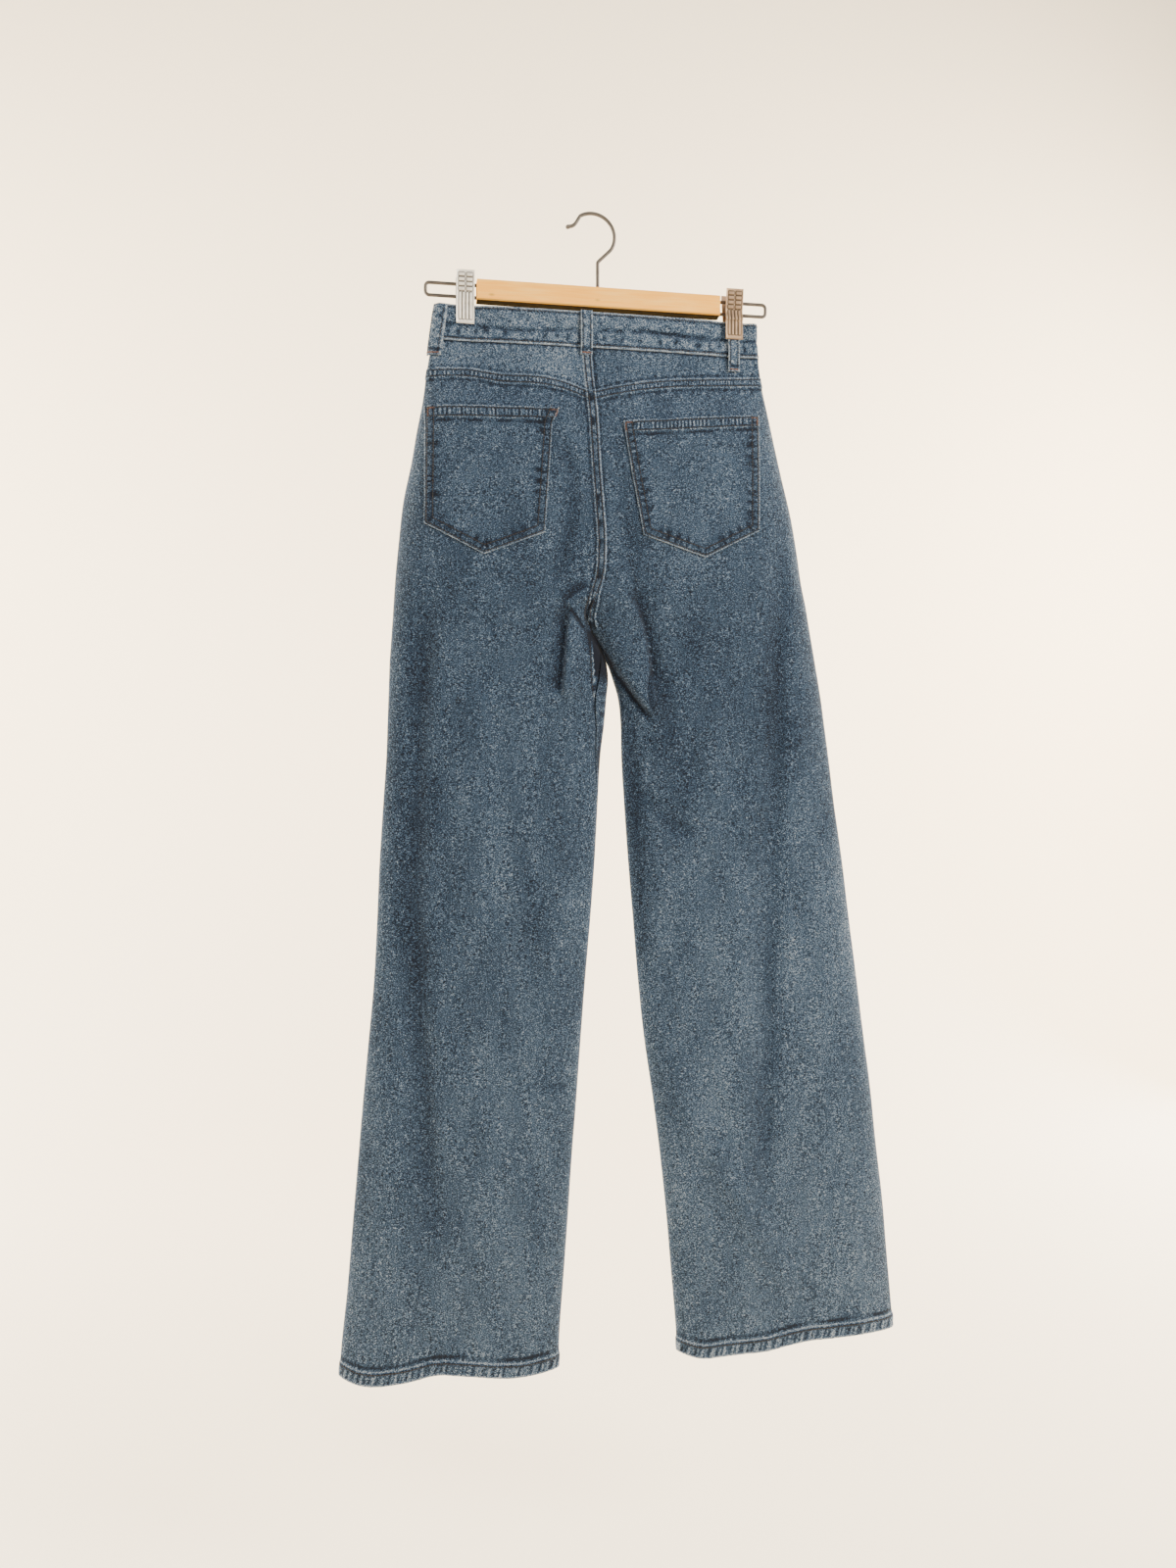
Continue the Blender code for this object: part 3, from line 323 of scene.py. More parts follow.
def ring_point(side, theta, drop, folded=True):
    """The cloth's middle surface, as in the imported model: theta 0 to 2 is the back, and 2 to 4 the front."""
    theta, drop = np.broadcast_arrays(np.asarray(theta, float) % 4, np.asarray(drop, float))
    back = theta < 2
    u = np.where(back, theta - 1, 3 - theta)
    across = np.sin(math.pi / 2 * np.clip(u, -1, 1))
    outer, inner = section(f"{side}_outer", drop), section(f"{side}_inner", drop)
    front_centre = through(FRONT_CENTRE, np.minimum(drop, CROTCH))
    inner = np.where(back | (drop > CROTCH), inner, front_centre)
    towards = 1 if side == "left" else -1
    inner = inner - towards * (SEAM_GAP / 2 + 0.15 * step(365, 398, drop) + 0.6 * step(452, 466, drop))
    x = outer + (inner - outer) * (across + 1) / 2
    edge = np.sqrt(np.clip(1 - across**4, 0, 1))
    whole = fall(388, CROTCH, drop)
    crown = np.where(across > 0, whole + (1 - whole) * edge, edge)
    low = np.where(back, drop, drop - front_dip(x))
    body = step(WAIST_SEAM + 1, WAIST_SEAM + 78, low)
    outside = np.abs(x - outer)
    back_y = -(waist_depth(x, low, outside, "back") * (1 - body) + section("back", drop) * crown * body)
    front_y = waist_depth(x, low, outside, "front") * (1 - body) + section("front", drop) * crown * body
    if folded:
        back_y = back_y - (folds("back", x, drop)[0] + drape("back", x, drop)) * edge * body
        front_y = front_y + (folds("front", x, drop)[0] + drape("front", x, drop)) * edge * body
    return np.stack([x, np.where(back, back_y, front_y), -drop], axis=-1)


def drape(face, x, drop):
    """Long soft unevenness of hanging cloth."""
    seed = 3 if face == "back" else 8
    long = ripple(seed, x, drop, 62, 620) * 0.55 * step(330, 620, drop)
    near = ripple(seed + 20, x, drop, 46, 95) * 0.32 * step(170, 240, drop)
    return long + near + ripple(seed + 40, x, drop, 21, 60) * 0.09


def theta_of(side, face, x, drop):
    """The ring's angle at an x on one face."""
    outer = section(f"{side}_outer", drop)
    inner = section(f"{side}_inner", drop)
    if face == "front":
        inner = np.where(np.asarray(drop) > CROTCH, inner, through(FRONT_CENTRE, np.minimum(drop, CROTCH)))
    u = 2 / math.pi * np.arcsin(np.clip(2 * (x - outer) / (inner - outer) - 1, -1, 1))
    u = np.clip(u, -0.9995, 0.9995)
    return u + 1 if face == "back" else 3 - u


def edge_share(theta):
    """The share of a leg's width, from its outer edge, at a ring angle."""
    theta = theta % 4
    u = np.where(theta < 2, theta - 1, 3 - theta)
    return (np.sin(math.pi / 2 * u) + 1) / 2


def seam_turn(depth):
    """The ring angle that half the seam's gap takes at a folded edge of this depth."""
    return SEAM_GAP / 2 / (2.2 * depth)


def inseam_turn(side, drop):
    return np.where(drop > CROTCH, through(INSEAM[side], drop), 0.0)


def hem_level(side, theta):
    """The hem's drop: uneven on the back, and straight on the front."""
    share = edge_share(theta)
    table = HEM[side]
    plain = table[0][1] + (table[-1][1] - table[0][1]) * share
    return np.where(theta % 4 < 2, through(table, share), plain)


def normals(points):
    """Unit normals of a grid, turned away from the hanger's middle plane."""
    down, along = np.gradient(points, axis=0), np.gradient(points, axis=1)
    normal = np.cross(along, down)
    normal /= np.maximum(np.linalg.norm(normal, axis=-1, keepdims=True), 1e-9)
    return normal if np.sum(normal[..., 1] * points[..., 1]) > 0 else -normal


# Materials

GRAIN_COLUMNS = ("scale", "stretch", "detail", "gain")
GRAIN = ((860.0, 1.35, 2.0, 4.1), (460.0, 1.0, 2.0, 0.8), (480.0, 0.1, 1.0, 0.22), (15.0, 0.4, 3.0, 0.36))
WASH_STRETCH = 0.62
WASH = (
    (0.0, (0.0010, 0.0027, 0.0076)),
    (0.155, (0.0057, 0.0140, 0.0290)),
    (0.31, (0.0173, 0.0355, 0.0600)),
    (0.465, (0.0360, 0.0605, 0.0960)),
    (0.62, (0.069, 0.103, 0.148)),
    (0.80, (0.162, 0.199, 0.240)),
    (1.0, (0.280, 0.305, 0.312)),
)
WOOD_COLOURS = ((0.32, (0.94, 0.38, 0.04)), (0.5, (1.0, 0.46, 0.065)), (0.68, (1.0, 0.56, 0.14)))


def new_material(name, roughness, metallic=0.0):
    made = bpy.data.materials.new(name)
    made.use_nodes = True
    shader = made.node_tree.nodes["Principled BSDF"]
    shader.inputs["Roughness"].default_value = roughness
    shader.inputs["Metallic"].default_value = metallic
    return made, made.node_tree, shader


def node(tree, kind, inputs=None, **settings):
    made = tree.nodes.new(kind)
    for key, value in settings.items():
        setattr(made, key, value)
    for key, value in (inputs or {}).items():
        if isinstance(value, bpy.types.NodeSocket):
            tree.links.new(value, made.inputs[key])
        else:
            made.inputs[key].default_value = value
    return made


def maths(tree, operation, first, second=None, third=None):
    inputs = {0: first}
    if second is not None:
        inputs[1] = second
    if third is not None:
        inputs[2] = third
    return node(tree, "ShaderNodeMath", inputs, operation=operation).outputs[0]


def ramp(tree, factor, stops):
    made = node(tree, "ShaderNodeValToRGB", {0: factor})
    bar = made.color_ramp
    while len(bar.elements) < len(stops):
        bar.elements.new(0.5)
    for element, (place, colour) in zip(bar.elements, stops):
        element.position = place
        element.color = (*colour, 1)
    return made.outputs[0]


def mapped(tree, stretch):
    place = node(tree, "ShaderNodeTexCoord").outputs["Object"]
    return node(tree, "ShaderNodeMapping", {"Vector": place, "Scale": stretch}).outputs[0]


def noise(tree, scale, detail, stretch=(1, 1, 1)):
    inputs = {"Vector": mapped(tree, stretch), "Scale": scale, "Detail": detail}
    return node(tree, "ShaderNodeTexNoise", inputs).outputs[0]


def blend(tree, factor, first, second):
    """A mix of two colours, each a socket or a plain colour."""
    return node(tree, "ShaderNodeMix", {0: factor, 6: first, 7: second}, data_type="RGBA").outputs[2]


def bumped(tree, shader, height, strength, distance):
    bump = node(tree, "ShaderNodeBump", {"Height": height, "Strength": strength, "Distance": distance})
    tree.links.new(bump.outputs[0], shader.inputs["Normal"])


def painted_tone(tree):
    return node(tree, "ShaderNodeAttribute", attribute_name="tone").outputs["Fac"]


def denim(name, lift=0.0):
    """Washed denim: salt-and-pepper yarns, a faint twill line, a cloudy wash and a painted tone, which carries
    wear and painted shade.
    """
    made, tree, shader = new_material(name, 0.92)
    total = maths(tree, "MULTIPLY_ADD", painted_tone(tree), 0.75, 0.5 + lift)
    layers = []
    for row in GRAIN:
        layer = dict(zip(GRAIN_COLUMNS, row))
        layers.append(noise(tree, layer["scale"], layer["detail"], (1, 1, layer["stretch"])))
        low = maths(tree, "SUBTRACT", total, layer["gain"] / 2)
        total = maths(tree, "MULTIPLY_ADD", layers[-1], layer["gain"], low)
    colour = ramp(tree, maths(tree, "MULTIPLY", total, WASH_STRETCH), WASH)
    tree.links.new(colour, shader.inputs["Base Color"])
    bumped(tree, shader, layers[0], 0.5, 0.0005)
    shader.inputs["Sheen Weight"].default_value = 0.08
    shader.inputs["Sheen Roughness"].default_value = 0.6
    shader.inputs["Specular IOR Level"].default_value = 0.15
    return made


def thread(name, colour):
    made, tree, shader = new_material(name, 0.7)
    fibre = noise(tree, 900.0, 2.0)
    dark = tuple(0.45 * c for c in colour)
    light = tuple(min(1.0, 1.7 * c) for c in colour)
    tree.links.new(ramp(tree, fibre, ((0.3, dark), (0.7, light))), shader.inputs["Base Color"])
    bumped(tree, shader, fibre, 0.3, 0.0002)
    return made


def steel(name, colour, roughness, stamped=False):
    made, tree, shader = new_material(name, roughness, 0.35)
    shader.inputs["Specular IOR Level"].default_value = 0.15
    shader.inputs["Specular Tint"].default_value = (0.40, 0.38, 0.35, 1)
    tarnish = noise(tree, 140.0, 4.0)
    dull = tuple(0.72 * c for c in colour)
    shown = ramp(tree, tarnish, ((0.3, dull), (0.65, colour)))
    # Painted shade: the tone darkens the stamped grooves towards a deep brown.
    if stamped:
        shown = blend(tree, painted_tone(tree), (0.045, 0.035, 0.025, 1), shown)
    tree.links.new(shown, shader.inputs["Base Color"])
    limits = {"Value": tarnish, "To Min": roughness - 0.08, "To Max": roughness + 0.12}
    rough = node(tree, "ShaderNodeMapRange", limits).outputs[0]
    tree.links.new(rough, shader.inputs["Roughness"])
    bumped(tree, shader, tarnish, 0.08, 0.0002)
    return made


def wood(name):
    """Pale varnished wood: a fine grain along the bar, a soft figure, a few pin knots, and painted shade on
    its underside.
    """
    made, tree, shader = new_material(name, 0.6)
    grain = noise(tree, 520.0, 4.0, (0.05, 1, 1))
    figure = noise(tree, 70.0, 3.0, (0.16, 1, 1))
    mix = maths(tree, "MULTIPLY_ADD", grain, 0.45, maths(tree, "MULTIPLY", figure, 0.55))
    plain_wood = ramp(tree, mix, WOOD_COLOURS)
    cells = {"Vector": mapped(tree, (0.5, 0.4, 1)), "Scale": 42.0}
    knots = node(tree, "ShaderNodeTexVoronoi", cells).outputs["Distance"]
    spot = maths(tree, "SUBTRACT", 1.0, maths(tree, "MULTIPLY", knots, 11.0))
    spot = node(tree, "ShaderNodeClamp", {"Value": spot}).outputs[0]
    knotted = blend(tree, spot, plain_wood, (0.40, 0.17, 0.04, 1))
    # Painted shade: where the normal points down, the underside is darkened towards a deep brown.
    normal = node(tree, "ShaderNodeNewGeometry").outputs["Normal"]
    upward = node(tree, "ShaderNodeSeparateXYZ", {0: normal}).outputs[2]
    underside_shade_range = {"Value": upward, "From Min": -0.5, "From Max": -0.95}
    under = node(tree, "ShaderNodeMapRange", underside_shade_range).outputs[0]
    tree.links.new(blend(tree, under, knotted, (0.028, 0.020, 0.009, 1)), shader.inputs["Base Color"])
    bumped(tree, shader, grain, 0.12, 0.0003)
    shader.inputs["Specular IOR Level"].default_value = 0.0
    return made


DENIM = denim("denim")
DENIM_YOKE = denim("denim_yoke", 0.035)
DENIM_TRIM = denim("denim_trim", 0.03)
THREAD = thread("thread_brown", (0.010, 0.007, 0.006))
COPPER = thread("thread_copper", (0.125, 0.052, 0.030))
STEEL = steel("hanger_steel", (0.125, 0.108, 0.092), 0.36)
CLIP_METAL = steel("clip_metal", (1.0, 0.93, 0.80), 0.45, True)
# Painted reflection: the right clip is the same metal, given a darker, warm brown colour for what it reflects.
CLIP_METAL_PAINTED_REFLECTION = steel("clip_metal_painted_reflection", (0.42, 0.28, 0.17), 0.45, True)
BRASS = steel("button_brass", (0.46, 0.36, 0.24), 0.40)
WOOD = wood("hanger_wood")


# Making pieces


def link(name, data):
    made = bpy.data.objects.new(name, data)
    bpy.context.scene.collection.objects.link(made)
    return made


def add_piece(name, points, faces, material, replaces=(), tone=None, smooth=True):
    mesh = bpy.data.meshes.new(name)
    mesh.from_pydata((np.asarray(points, float).reshape(-1, 3) * MM).tolist(), [], faces)
    mesh.validate()
    if smooth:
        mesh.shade_smooth()
    if tone is not None:
        attribute = mesh.attributes.new("tone", "FLOAT", "POINT")
        attribute.data.foreach_set("value", np.asarray(tone, np.float32).ravel())
    mesh.materials.append(material)
    piece = link(name, mesh)
    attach(piece, "root")
    if replaces:
        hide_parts(*replaces)
    return piece


def quads(rows, columns, start=0, turn=False):
    r, c = np.meshgrid(np.arange(rows - 1), np.arange(columns - 1), indexing="ij")
    a = start + r * columns + c
    faces = np.stack([a, a + 1, a + columns + 1, a + columns], axis=-1).reshape(-1, 4)
    return (faces[:, ::-1] if turn else faces).tolist()


def faces_out(points):
    """Whether a grid's faces, in quads' order, look away from the middle plane."""
    normal = np.cross(np.gradient(points, axis=1), np.gradient(points, axis=0))
    return np.sum(normal[..., 1] * points[..., 1]) < 0


def grid_edge(rows, columns):
    """The (row, column) places round a grid's edge, in order."""
    ring = [(0, c) for c in range(columns)] + [(r, columns - 1) for r in range(1, rows)]
    ring += [(rows - 1, c) for c in range(columns - 2, -1, -1)] + [(r, 0) for r in range(rows - 2, 0, -1)]
    return ring


def rim_faces(ring, offset, out):
    """Quads between a closed ring of points and the ring that lies an even offset after it."""
    faces = []
    for a, b in zip(ring, ring[1:] + ring[:1]):
        quad = [a, b, b + offset, a + offset]
        faces.append(quad[::-1] if out else quad)
    return faces


def turned_faces(rings, steps, start=0):
    """Quads between rings of points, each ring closed on itself."""
    faces = []
    for r in range(rings - 1):
        for k in range(steps):
            a, b = start + r * steps + k, start + r * steps + (k + 1) % steps
            faces.append((a, b, b + steps, a + steps))
    return faces


def shell(name, middle, relief, tone, thick, material, replaces, coarse=4):
    """A sheet of cloth: a fine outer skin raised by its relief, a coarse inner skin, and a rim between."""
    rows, columns = middle.shape[:2]
    normal = normals(middle)
    outer = middle + normal * (thick / 2 + relief)[..., None]
    inner_rim = middle - normal * thick / 2
    pick_r = sorted(set(range(0, rows, coarse)) | {rows - 1})
    pick_c = sorted(set(range(0, columns, coarse)) | {columns - 1})
    inner = inner_rim[np.ix_(pick_r, pick_c)]
    ring = grid_edge(rows, columns)
    rim_out = np.array([outer[r, c] for r, c in ring])
    rim_in = np.array([inner_rim[r, c] for r, c in ring])
    rim_tone = np.array([tone[r, c] for r, c in ring])
    out = faces_out(middle)
    points = np.concatenate([outer.reshape(-1, 3), inner.reshape(-1, 3), rim_out, rim_in])
    first = rows * columns + len(pick_r) * len(pick_c)
    faces = quads(rows, columns, 0, out)
    faces += quads(len(pick_r), len(pick_c), rows * columns, not out)
    faces += rim_faces(list(range(first, first + len(ring))), len(ring), out)
    inner_tone = np.full(inner.shape[0] * inner.shape[1], INSIDE_TONE)
    tones = np.concatenate([tone.ravel(), inner_tone, rim_tone + 0.5, rim_tone + 0.3])
    piece = add_piece(name, points, faces, material, (replaces,), tones)
    return outer, normal


STITCHES = {"brown": [], "copper": []}


def capsule_points(start, end, up, radius=0.42, rise=0.35):
    """A stitch: a short bulged thread from start to end, lying on the cloth and dipping in at both ends."""
    start, end, up = (np.asarray(v, float) for v in (start, end, up))
    along = end - start
    length = np.linalg.norm(along)
    along = along / max(length, 1e-6)
    side = np.cross(along, up)
    side /= max(np.linalg.norm(side), 1e-6)
    rings = []
    for t, size, lift in ((0.0, 0.35, -0.15), (0.22, 0.95, 0.8), (0.78, 0.95, 0.8), (1.0, 0.35, -0.15)):
        centre = start + along * length * t + up * rise * lift
        for a in np.radians((0, 72, 144, 216, 288)):
            rings.append(centre + radius * size * (side * math.cos(a) + up * 0.8 * math.sin(a)))
    return np.array(rings)


def stitch_faces(start):
    faces = turned_faces(4, 5, start)
    faces.append(tuple(start + k for k in range(5)))
    faces.append(tuple(start + 15 + k for k in range(4, -1, -1)))
    return faces


def sew(line, ups, colour="brown", pitch=3.0, gap=0.55, radius=0.55):
    """Stitches along a line of surface points, with the surface's normal at each."""
    line, ups = np.asarray(line, float), np.asarray(ups, float)
    run = run_along(line)
    for k in range(int(run[-1] / pitch)):
        start = at_run(k * pitch + gap / 2, run, line)
        end = at_run((k + 1) * pitch - gap / 2, run, line)
        up = at_run((k + 0.5) * pitch, run, ups)
        STITCHES[colour].append(capsule_points(start, end, up / max(np.linalg.norm(up), 1e-6), radius))


class Skin:
    """The outer face of a made sheet, looked up by x and drop, so that sewing lies on it."""

    def __init__(self, outer, normal):
        self.outer, self.normal = outer.reshape(-1, 3), normal.reshape(-1, 3)

    def at(self, wanted):
        """The skin's nearest points to a line of (x, drop) points, and their normals."""
        wanted = np.asarray(wanted, float)
        found = []
        for x, drop in wanted:
            d = (self.outer[:, 0] - x) ** 2 + (self.outer[:, 2] + drop) ** 2
            near = np.argpartition(d, 4)[:4]
            w = 1 / (d[near] + 0.05)
            w /= w.sum()
            found.append((w @ self.outer[near], w @ self.normal[near]))
        return np.array([p for p, _ in found]), np.array([n for _, n in found])

    def sew(self, wanted, **how):
        line, ups = self.at(wanted)
        exact = np.asarray(wanted, float)
        line[:, 0], line[:, 2] = exact[:, 0], -exact[:, 1]
        sew(line, ups, **how)


def polyline(points, spacing=2.5):
    """Evenly spaced points along a few corner points."""
    points = np.asarray(points, float)
    run = run_along(points)
    return at_run(np.linspace(0, run[-1], max(2, int(run[-1] / spacing))), run, points).T


def segment_distance(x, drop, a, b):
    """Distance from points to a segment, and the place along it."""
    ax, ad, bx, bd = a[0], a[1], b[0], b[1]
    length = math.hypot(bx - ax, bd - ad)
    t = np.clip(((x - ax) * (bx - ax) + (drop - ad) * (bd - ad)) / length**2, 0, 1)
    return np.hypot(x - ax - t * (bx - ax), drop - ad - t * (bd - ad)), t * length


def sew_hem(skin, side, first, last):
    """The hem's row of sewing, between two ring angles."""
    row = []
    for theta in np.linspace(first, last, 50):
        x = float(ring_point(side, theta, 1155)[0])
        row.append((x, float(hem_level(side, np.array(theta))) - HEM_ROW))
    skin.sew(polyline(row), radius=0.62)


def sew_centre(skin, side, drops):
    """One row of sewing along the centre back seam, on each side of its middle."""
    shift = 2.8 if side == "right" else -2.8
    skin.sew(polyline([(float(section("left_inner", d)) + shift, d) for d in drops]))


# Panels. Relief is in millimetres, and tone shifts the wash and carries painted shade: above 0 is paler, and
# below is darker.


def spread(count):
    """Shares across a panel, closer together at its folded edges."""
    t = np.linspace(0, 1, count)
    by_x = 0.5 + np.arcsin(np.clip(2 * t - 1, -1, 1)) / math.pi
    return 0.5 * t + 0.5 * by_x


def seam_bands(side, face, x, drop, theta):
    """Relief and tone of the seams that a leg panel carries."""
    relief, tone = np.zeros(x.shape), np.zeros(x.shape)
    seed = (side == "left") + 2 * (face == "front")
    if face == "back":
        across = seam_across(x, drop)
        middle = across - CENTRE_BAND / 2
        above = fall(CROTCH - 6, CROTCH + 2, drop)
        band = 0.75 * fall(4.2, 5.2, np.abs(middle))
        relief += above * (band + 0.2 * ripple(12, x, drop, 30, 7) * bell(middle, 7))
        tone += above * felled(across, CENTRE_BAND, 0.5 * dashes(11, drop + 0.4 * x, 16.0), 1.1, 0.25)
        tone -= above * 0.9 * np.clip(dashes(24, drop, 24.0, 1.8), 0, 1) * bell(across - 3.6, 2.6)
        # Painted shade along both edges of the raised centre band.
        tone -= above * 0.6 * (bell(across + 1.6, 1.3) + 0.6 * bell(across - 11.2, 1.3))
        down = drop - through(YOKE[side], edge_share(theta))
        marks = dashes(13 + seed, x, 4.4, 1.8)
        clear = step(4.8, 6.0, np.abs(middle))
        relief += 0.7 * fall(9.6, 10.6, down) + 0.25 * marks * bell(down - 5, 5)
        # Painted shade: a dark line just below the raised yoke band.
        yoke = clear * (felled(down, YOKE_BAND, marks, 0.6) - 0.55 * bell(down - 12.2, 1.6))
        tone += yoke + 0.25 * ripple(15, x, drop, 11, 30) * bell(down - 16, 7)
    hem = hem_level(side, theta) - drop
    rope = dashes(17 + seed, x + 0.25 * drop, 6.4)
    in_hem = HEM_RAISE * fall(12.4, 13.2, hem)
    relief += in_hem + 0.4 * rope * bell(hem - 6, 7) + 0.35 * bell(hem - 14.4, 1.5)
    tone += step(1.2, 2.4, hem) * fall(9.4, 10.6, hem) * (0.05 + 0.6 * rope) + 0.95 * bell(hem - 0.5, 1.1)
    # The dark row at the hem's sewing stands for the thread and the painted shade of its groove.
    tone += 0.85 * bell(hem - 14.0, 1.0) - 0.9 * bell(hem - HEM_ROW, 0.9)
    tone -= 1.15 * bell(hem - 18.2, 1.8) * (0.6 + 0.4 * dashes(19 + seed, x, 70.0))
    tone += 0.25 * ripple(21, x, drop, 9, 26) * bell(hem - 22, 7)
    return relief, tone


def wear_and_painted_light(face, x, drop):
    """Wash wear and painted light: paler towards the shins and on the right leg, where the key light falls,
    darker on the front, with uneven fading over all.
    """
    # Painted light: paler towards the shins and on the right leg, on the key light's side.
    wear_and_light_lift = 0.04 + 0.06 * step(760, 1150, drop) + 0.07 * step(-40, 160, x) - 0.08 * bell(drop - 560, 200)
    if face == "back":
        right = step(20, 90, x) * (0.09 * bell(drop - 720, 100) - 0.20 * bell(drop - 500, 120))
        wear_and_light_lift = wear_and_light_lift + right - 0.04 * bell(drop - 330, 150)
    else:
        wear_and_light_lift = wear_and_light_lift - 0.2
    return wear_and_light_lift + 0.08 * ripple(31 + (face == "front"), x, drop, 60, 190)


def seam_across(x, drop):
    """How far a point is from the left edge of the centre back seam's band."""
    return x - section("left_inner", drop) + CENTRE_BAND / 2 - 4.4 * bell(drop - 406, 18)


def back_panel(side):
    runs = ((BACK_TOP, 206, 34), (206, 385, 90), (385, 515, 108), (515, 700, 62), (700, 1130, 84))
    levels = [np.linspace(low, high, count, endpoint=False) for low, high, count in runs]
    levels = np.concatenate(levels + [np.linspace(1130, HEM_DROP, 40)])
    level, share = np.meshgrid(levels, spread(200), indexing="ij")
    start = -SIDE_SEAM_TURN + seam_turn(10)
    end = 2 - inseam_turn(side, level) - np.where(level > CROTCH - 1, seam_turn(10), CENTRE_TURN)
    theta = start + (end - start) * share
    top = through(YOKE[side], edge_share(theta)) + SEAM_GAP / 2
    drop = level + (top - BACK_TOP) * fall(191, 250, level)
    drop = drop + (hem_level(side, theta) - HEM_DROP) * step(*HEM_STRETCH, level)
    middle = ring_point(side, theta, drop)
    x = middle[..., 0]
    relief, tone = seam_bands(side, "back", x, drop, theta)
    tone += folds("back", x, drop)[1] + wear_and_painted_light("back", x, drop)
    if side == "left":
        inseam = x - through(INSEAM_SEWN, drop)
        below = step(CROTCH + 2, CROTCH + 10, drop) * fall(498, 512, drop)
        relief += 0.6 * step(-0.8, 0.6, inseam) * below
        ridge = 1.2 * bell(inseam - 0.2, 0.9) - 1.0 * bell(inseam + 1.7, 1.0) - 0.5 * step(0.8, 1.6, inseam)
        tone += below * ridge
        # Painted shadow: the recess under the right leg's overhanging flap is darkened almost to black.
        tone -= 3.0 * step(0.8, 2.4, inseam) * step(CROTCH - 3, CROTCH + 3, drop) * fall(450, 480, drop)
    skin = Skin(*shell(
        f"cloth_back_{side}", middle, relief, tone, CLOTH, DENIM, f"back_panel_{side}",
    ))
    sew_centre(skin, side, np.arange(188, CROTCH - 4, 6))
    sew_hem(skin, side, 0.1, 1.93)
    for offset in SEAM_ROWS:
        row = []
        for t in np.linspace(0.07, 1.91, 60):
            d = float(through(YOKE[side], edge_share(np.array(t)))) + offset
            row.append((float(ring_point(side, t, d)[0]), d))
        skin.sew(polyline(row))
    if side == "left":
        row = [(float(through(INSEAM_SEWN, d)) - 1.6, d) for d in np.arange(438, 500, 6)]
        skin.sew(polyline(row), radius=0.4)


def back_yoke(side):
    share, down = np.meshgrid(spread(170), np.linspace(0, 1, 40))
    start, end = -SIDE_SEAM_TURN + seam_turn(10), 2 - CENTRE_TURN
    theta = start + (end - start) * share
    low = through(YOKE[side], edge_share(theta)) - SEAM_GAP / 2
    drop = WAIST_SEAM + SEAM_GAP + (low - WAIST_SEAM - SEAM_GAP) * down
    middle = ring_point(side, theta, drop)
    x = middle[..., 0]
    below = drop - WAIST_SEAM
    across = seam_across(x, drop)
    band = 0.75 * fall(4.2, 5.2, np.abs(across - CENTRE_BAND / 2))
    relief = band + 0.2 * ripple(41, x, drop, 9, 26) * bell(below, 7)
    # Painted shadow: a dark line just under the waistband's lower edge.
    tone = 0.25 * ripple(42, x, drop, 9, 30) * bell(below - 2, 6) - 1.1 * bell(below, 1.8)
    centre = felled(across, CENTRE_BAND, 0.6 * dashes(43, drop, 9.0) + 0.5, 1.0)
    # Painted shade just beyond the right edge of the raised centre band.
    tone += centre - 0.7 * bell(across - 11.4, 1.6)
    up = through(YOKE[side], edge_share(theta)) - drop
    edge = 0.55 * bell(up, 1.0) - 0.5 * bell(up - 2.6, 1.3)
    tone += edge + 0.22 * ripple(44, x, drop, 8, 26) * bell(up - 4, 5)
    tone += wear_and_painted_light("back", x, drop) + (0.25 if side == "left" else 0.03)
    skin = Skin(*shell(
        f"cloth_yoke_{side}", middle, relief, tone, CLOTH, DENIM_YOKE, f"back_yoke_{side}",
    ))
    sew_centre(skin, side, np.arange(141, 182, 5))


def inward(side, level, reach):
    """The x at a reach inside a leg's outer edge."""
    outer = float(section(f"{side}_outer", level))
    return outer + (reach if side == "left" else -reach)


def scoop_place(side, down, reach):
    """The x and drop of a point of the scooped pocket's opening, from its drop and its reach inwards."""
    x = inward(side, WAIST_SEAM + down, reach)
    return x, WAIST_SEAM + down + float(front_dip(x)) * max(0.0, 1 - down / POCKET_SCOOP_DROP)


def front_grid(side, side_theta):
    """The front panel's levels, ring angles and drops: rows under the pocket's scoop, then full rows."""
    scoop_levels = WAIST_SEAM + SEAM_GAP + POCKET_SCOOP_DROP * np.sin(np.radians(np.linspace(0, 90, 30)))
    upper, legs = np.linspace(206, 500, 110), np.linspace(500, 1120, 140)[1:]
    levels = np.concatenate([scoop_levels, upper, legs, np.linspace(1120, HEM_DROP, 30)[1:]])
    shares = spread(110)
    thetas, drops = [], []
    for r, level in enumerate(levels):
        if r < len(scoop_levels):
            down = level - WAIST_SEAM - SEAM_GAP
            reach = POCKET_SCOOP_WIDTH * math.sqrt(max(0.0, 1 - (down / POCKET_SCOOP_DROP) ** 2))
            near, far = 2 + CENTRE_TURN, side_theta
            if reach > 2.5:
                far = min(float(theta_of(side, "front", inward(side, level, reach), level)), side_theta)
            theta = near + (far - near) * shares
            x = ring_point(side, theta, level, False)[:, 0]
            drop = level + front_dip(x) * (1 - down / POCKET_SCOOP_DROP)
        else:
            gap = seam_turn(7) if level > CROTCH - 1 else CENTRE_TURN
            near = 2 - float(inseam_turn(side, np.array(level))) + gap
            theta = near + (side_theta - near) * shares
            drop = level + (hem_level(side, theta) - HEM_DROP) * float(step(*HEM_STRETCH, level))
        thetas.append(theta)
        drops.append(drop)
    return levels, np.array(thetas), np.array(drops)


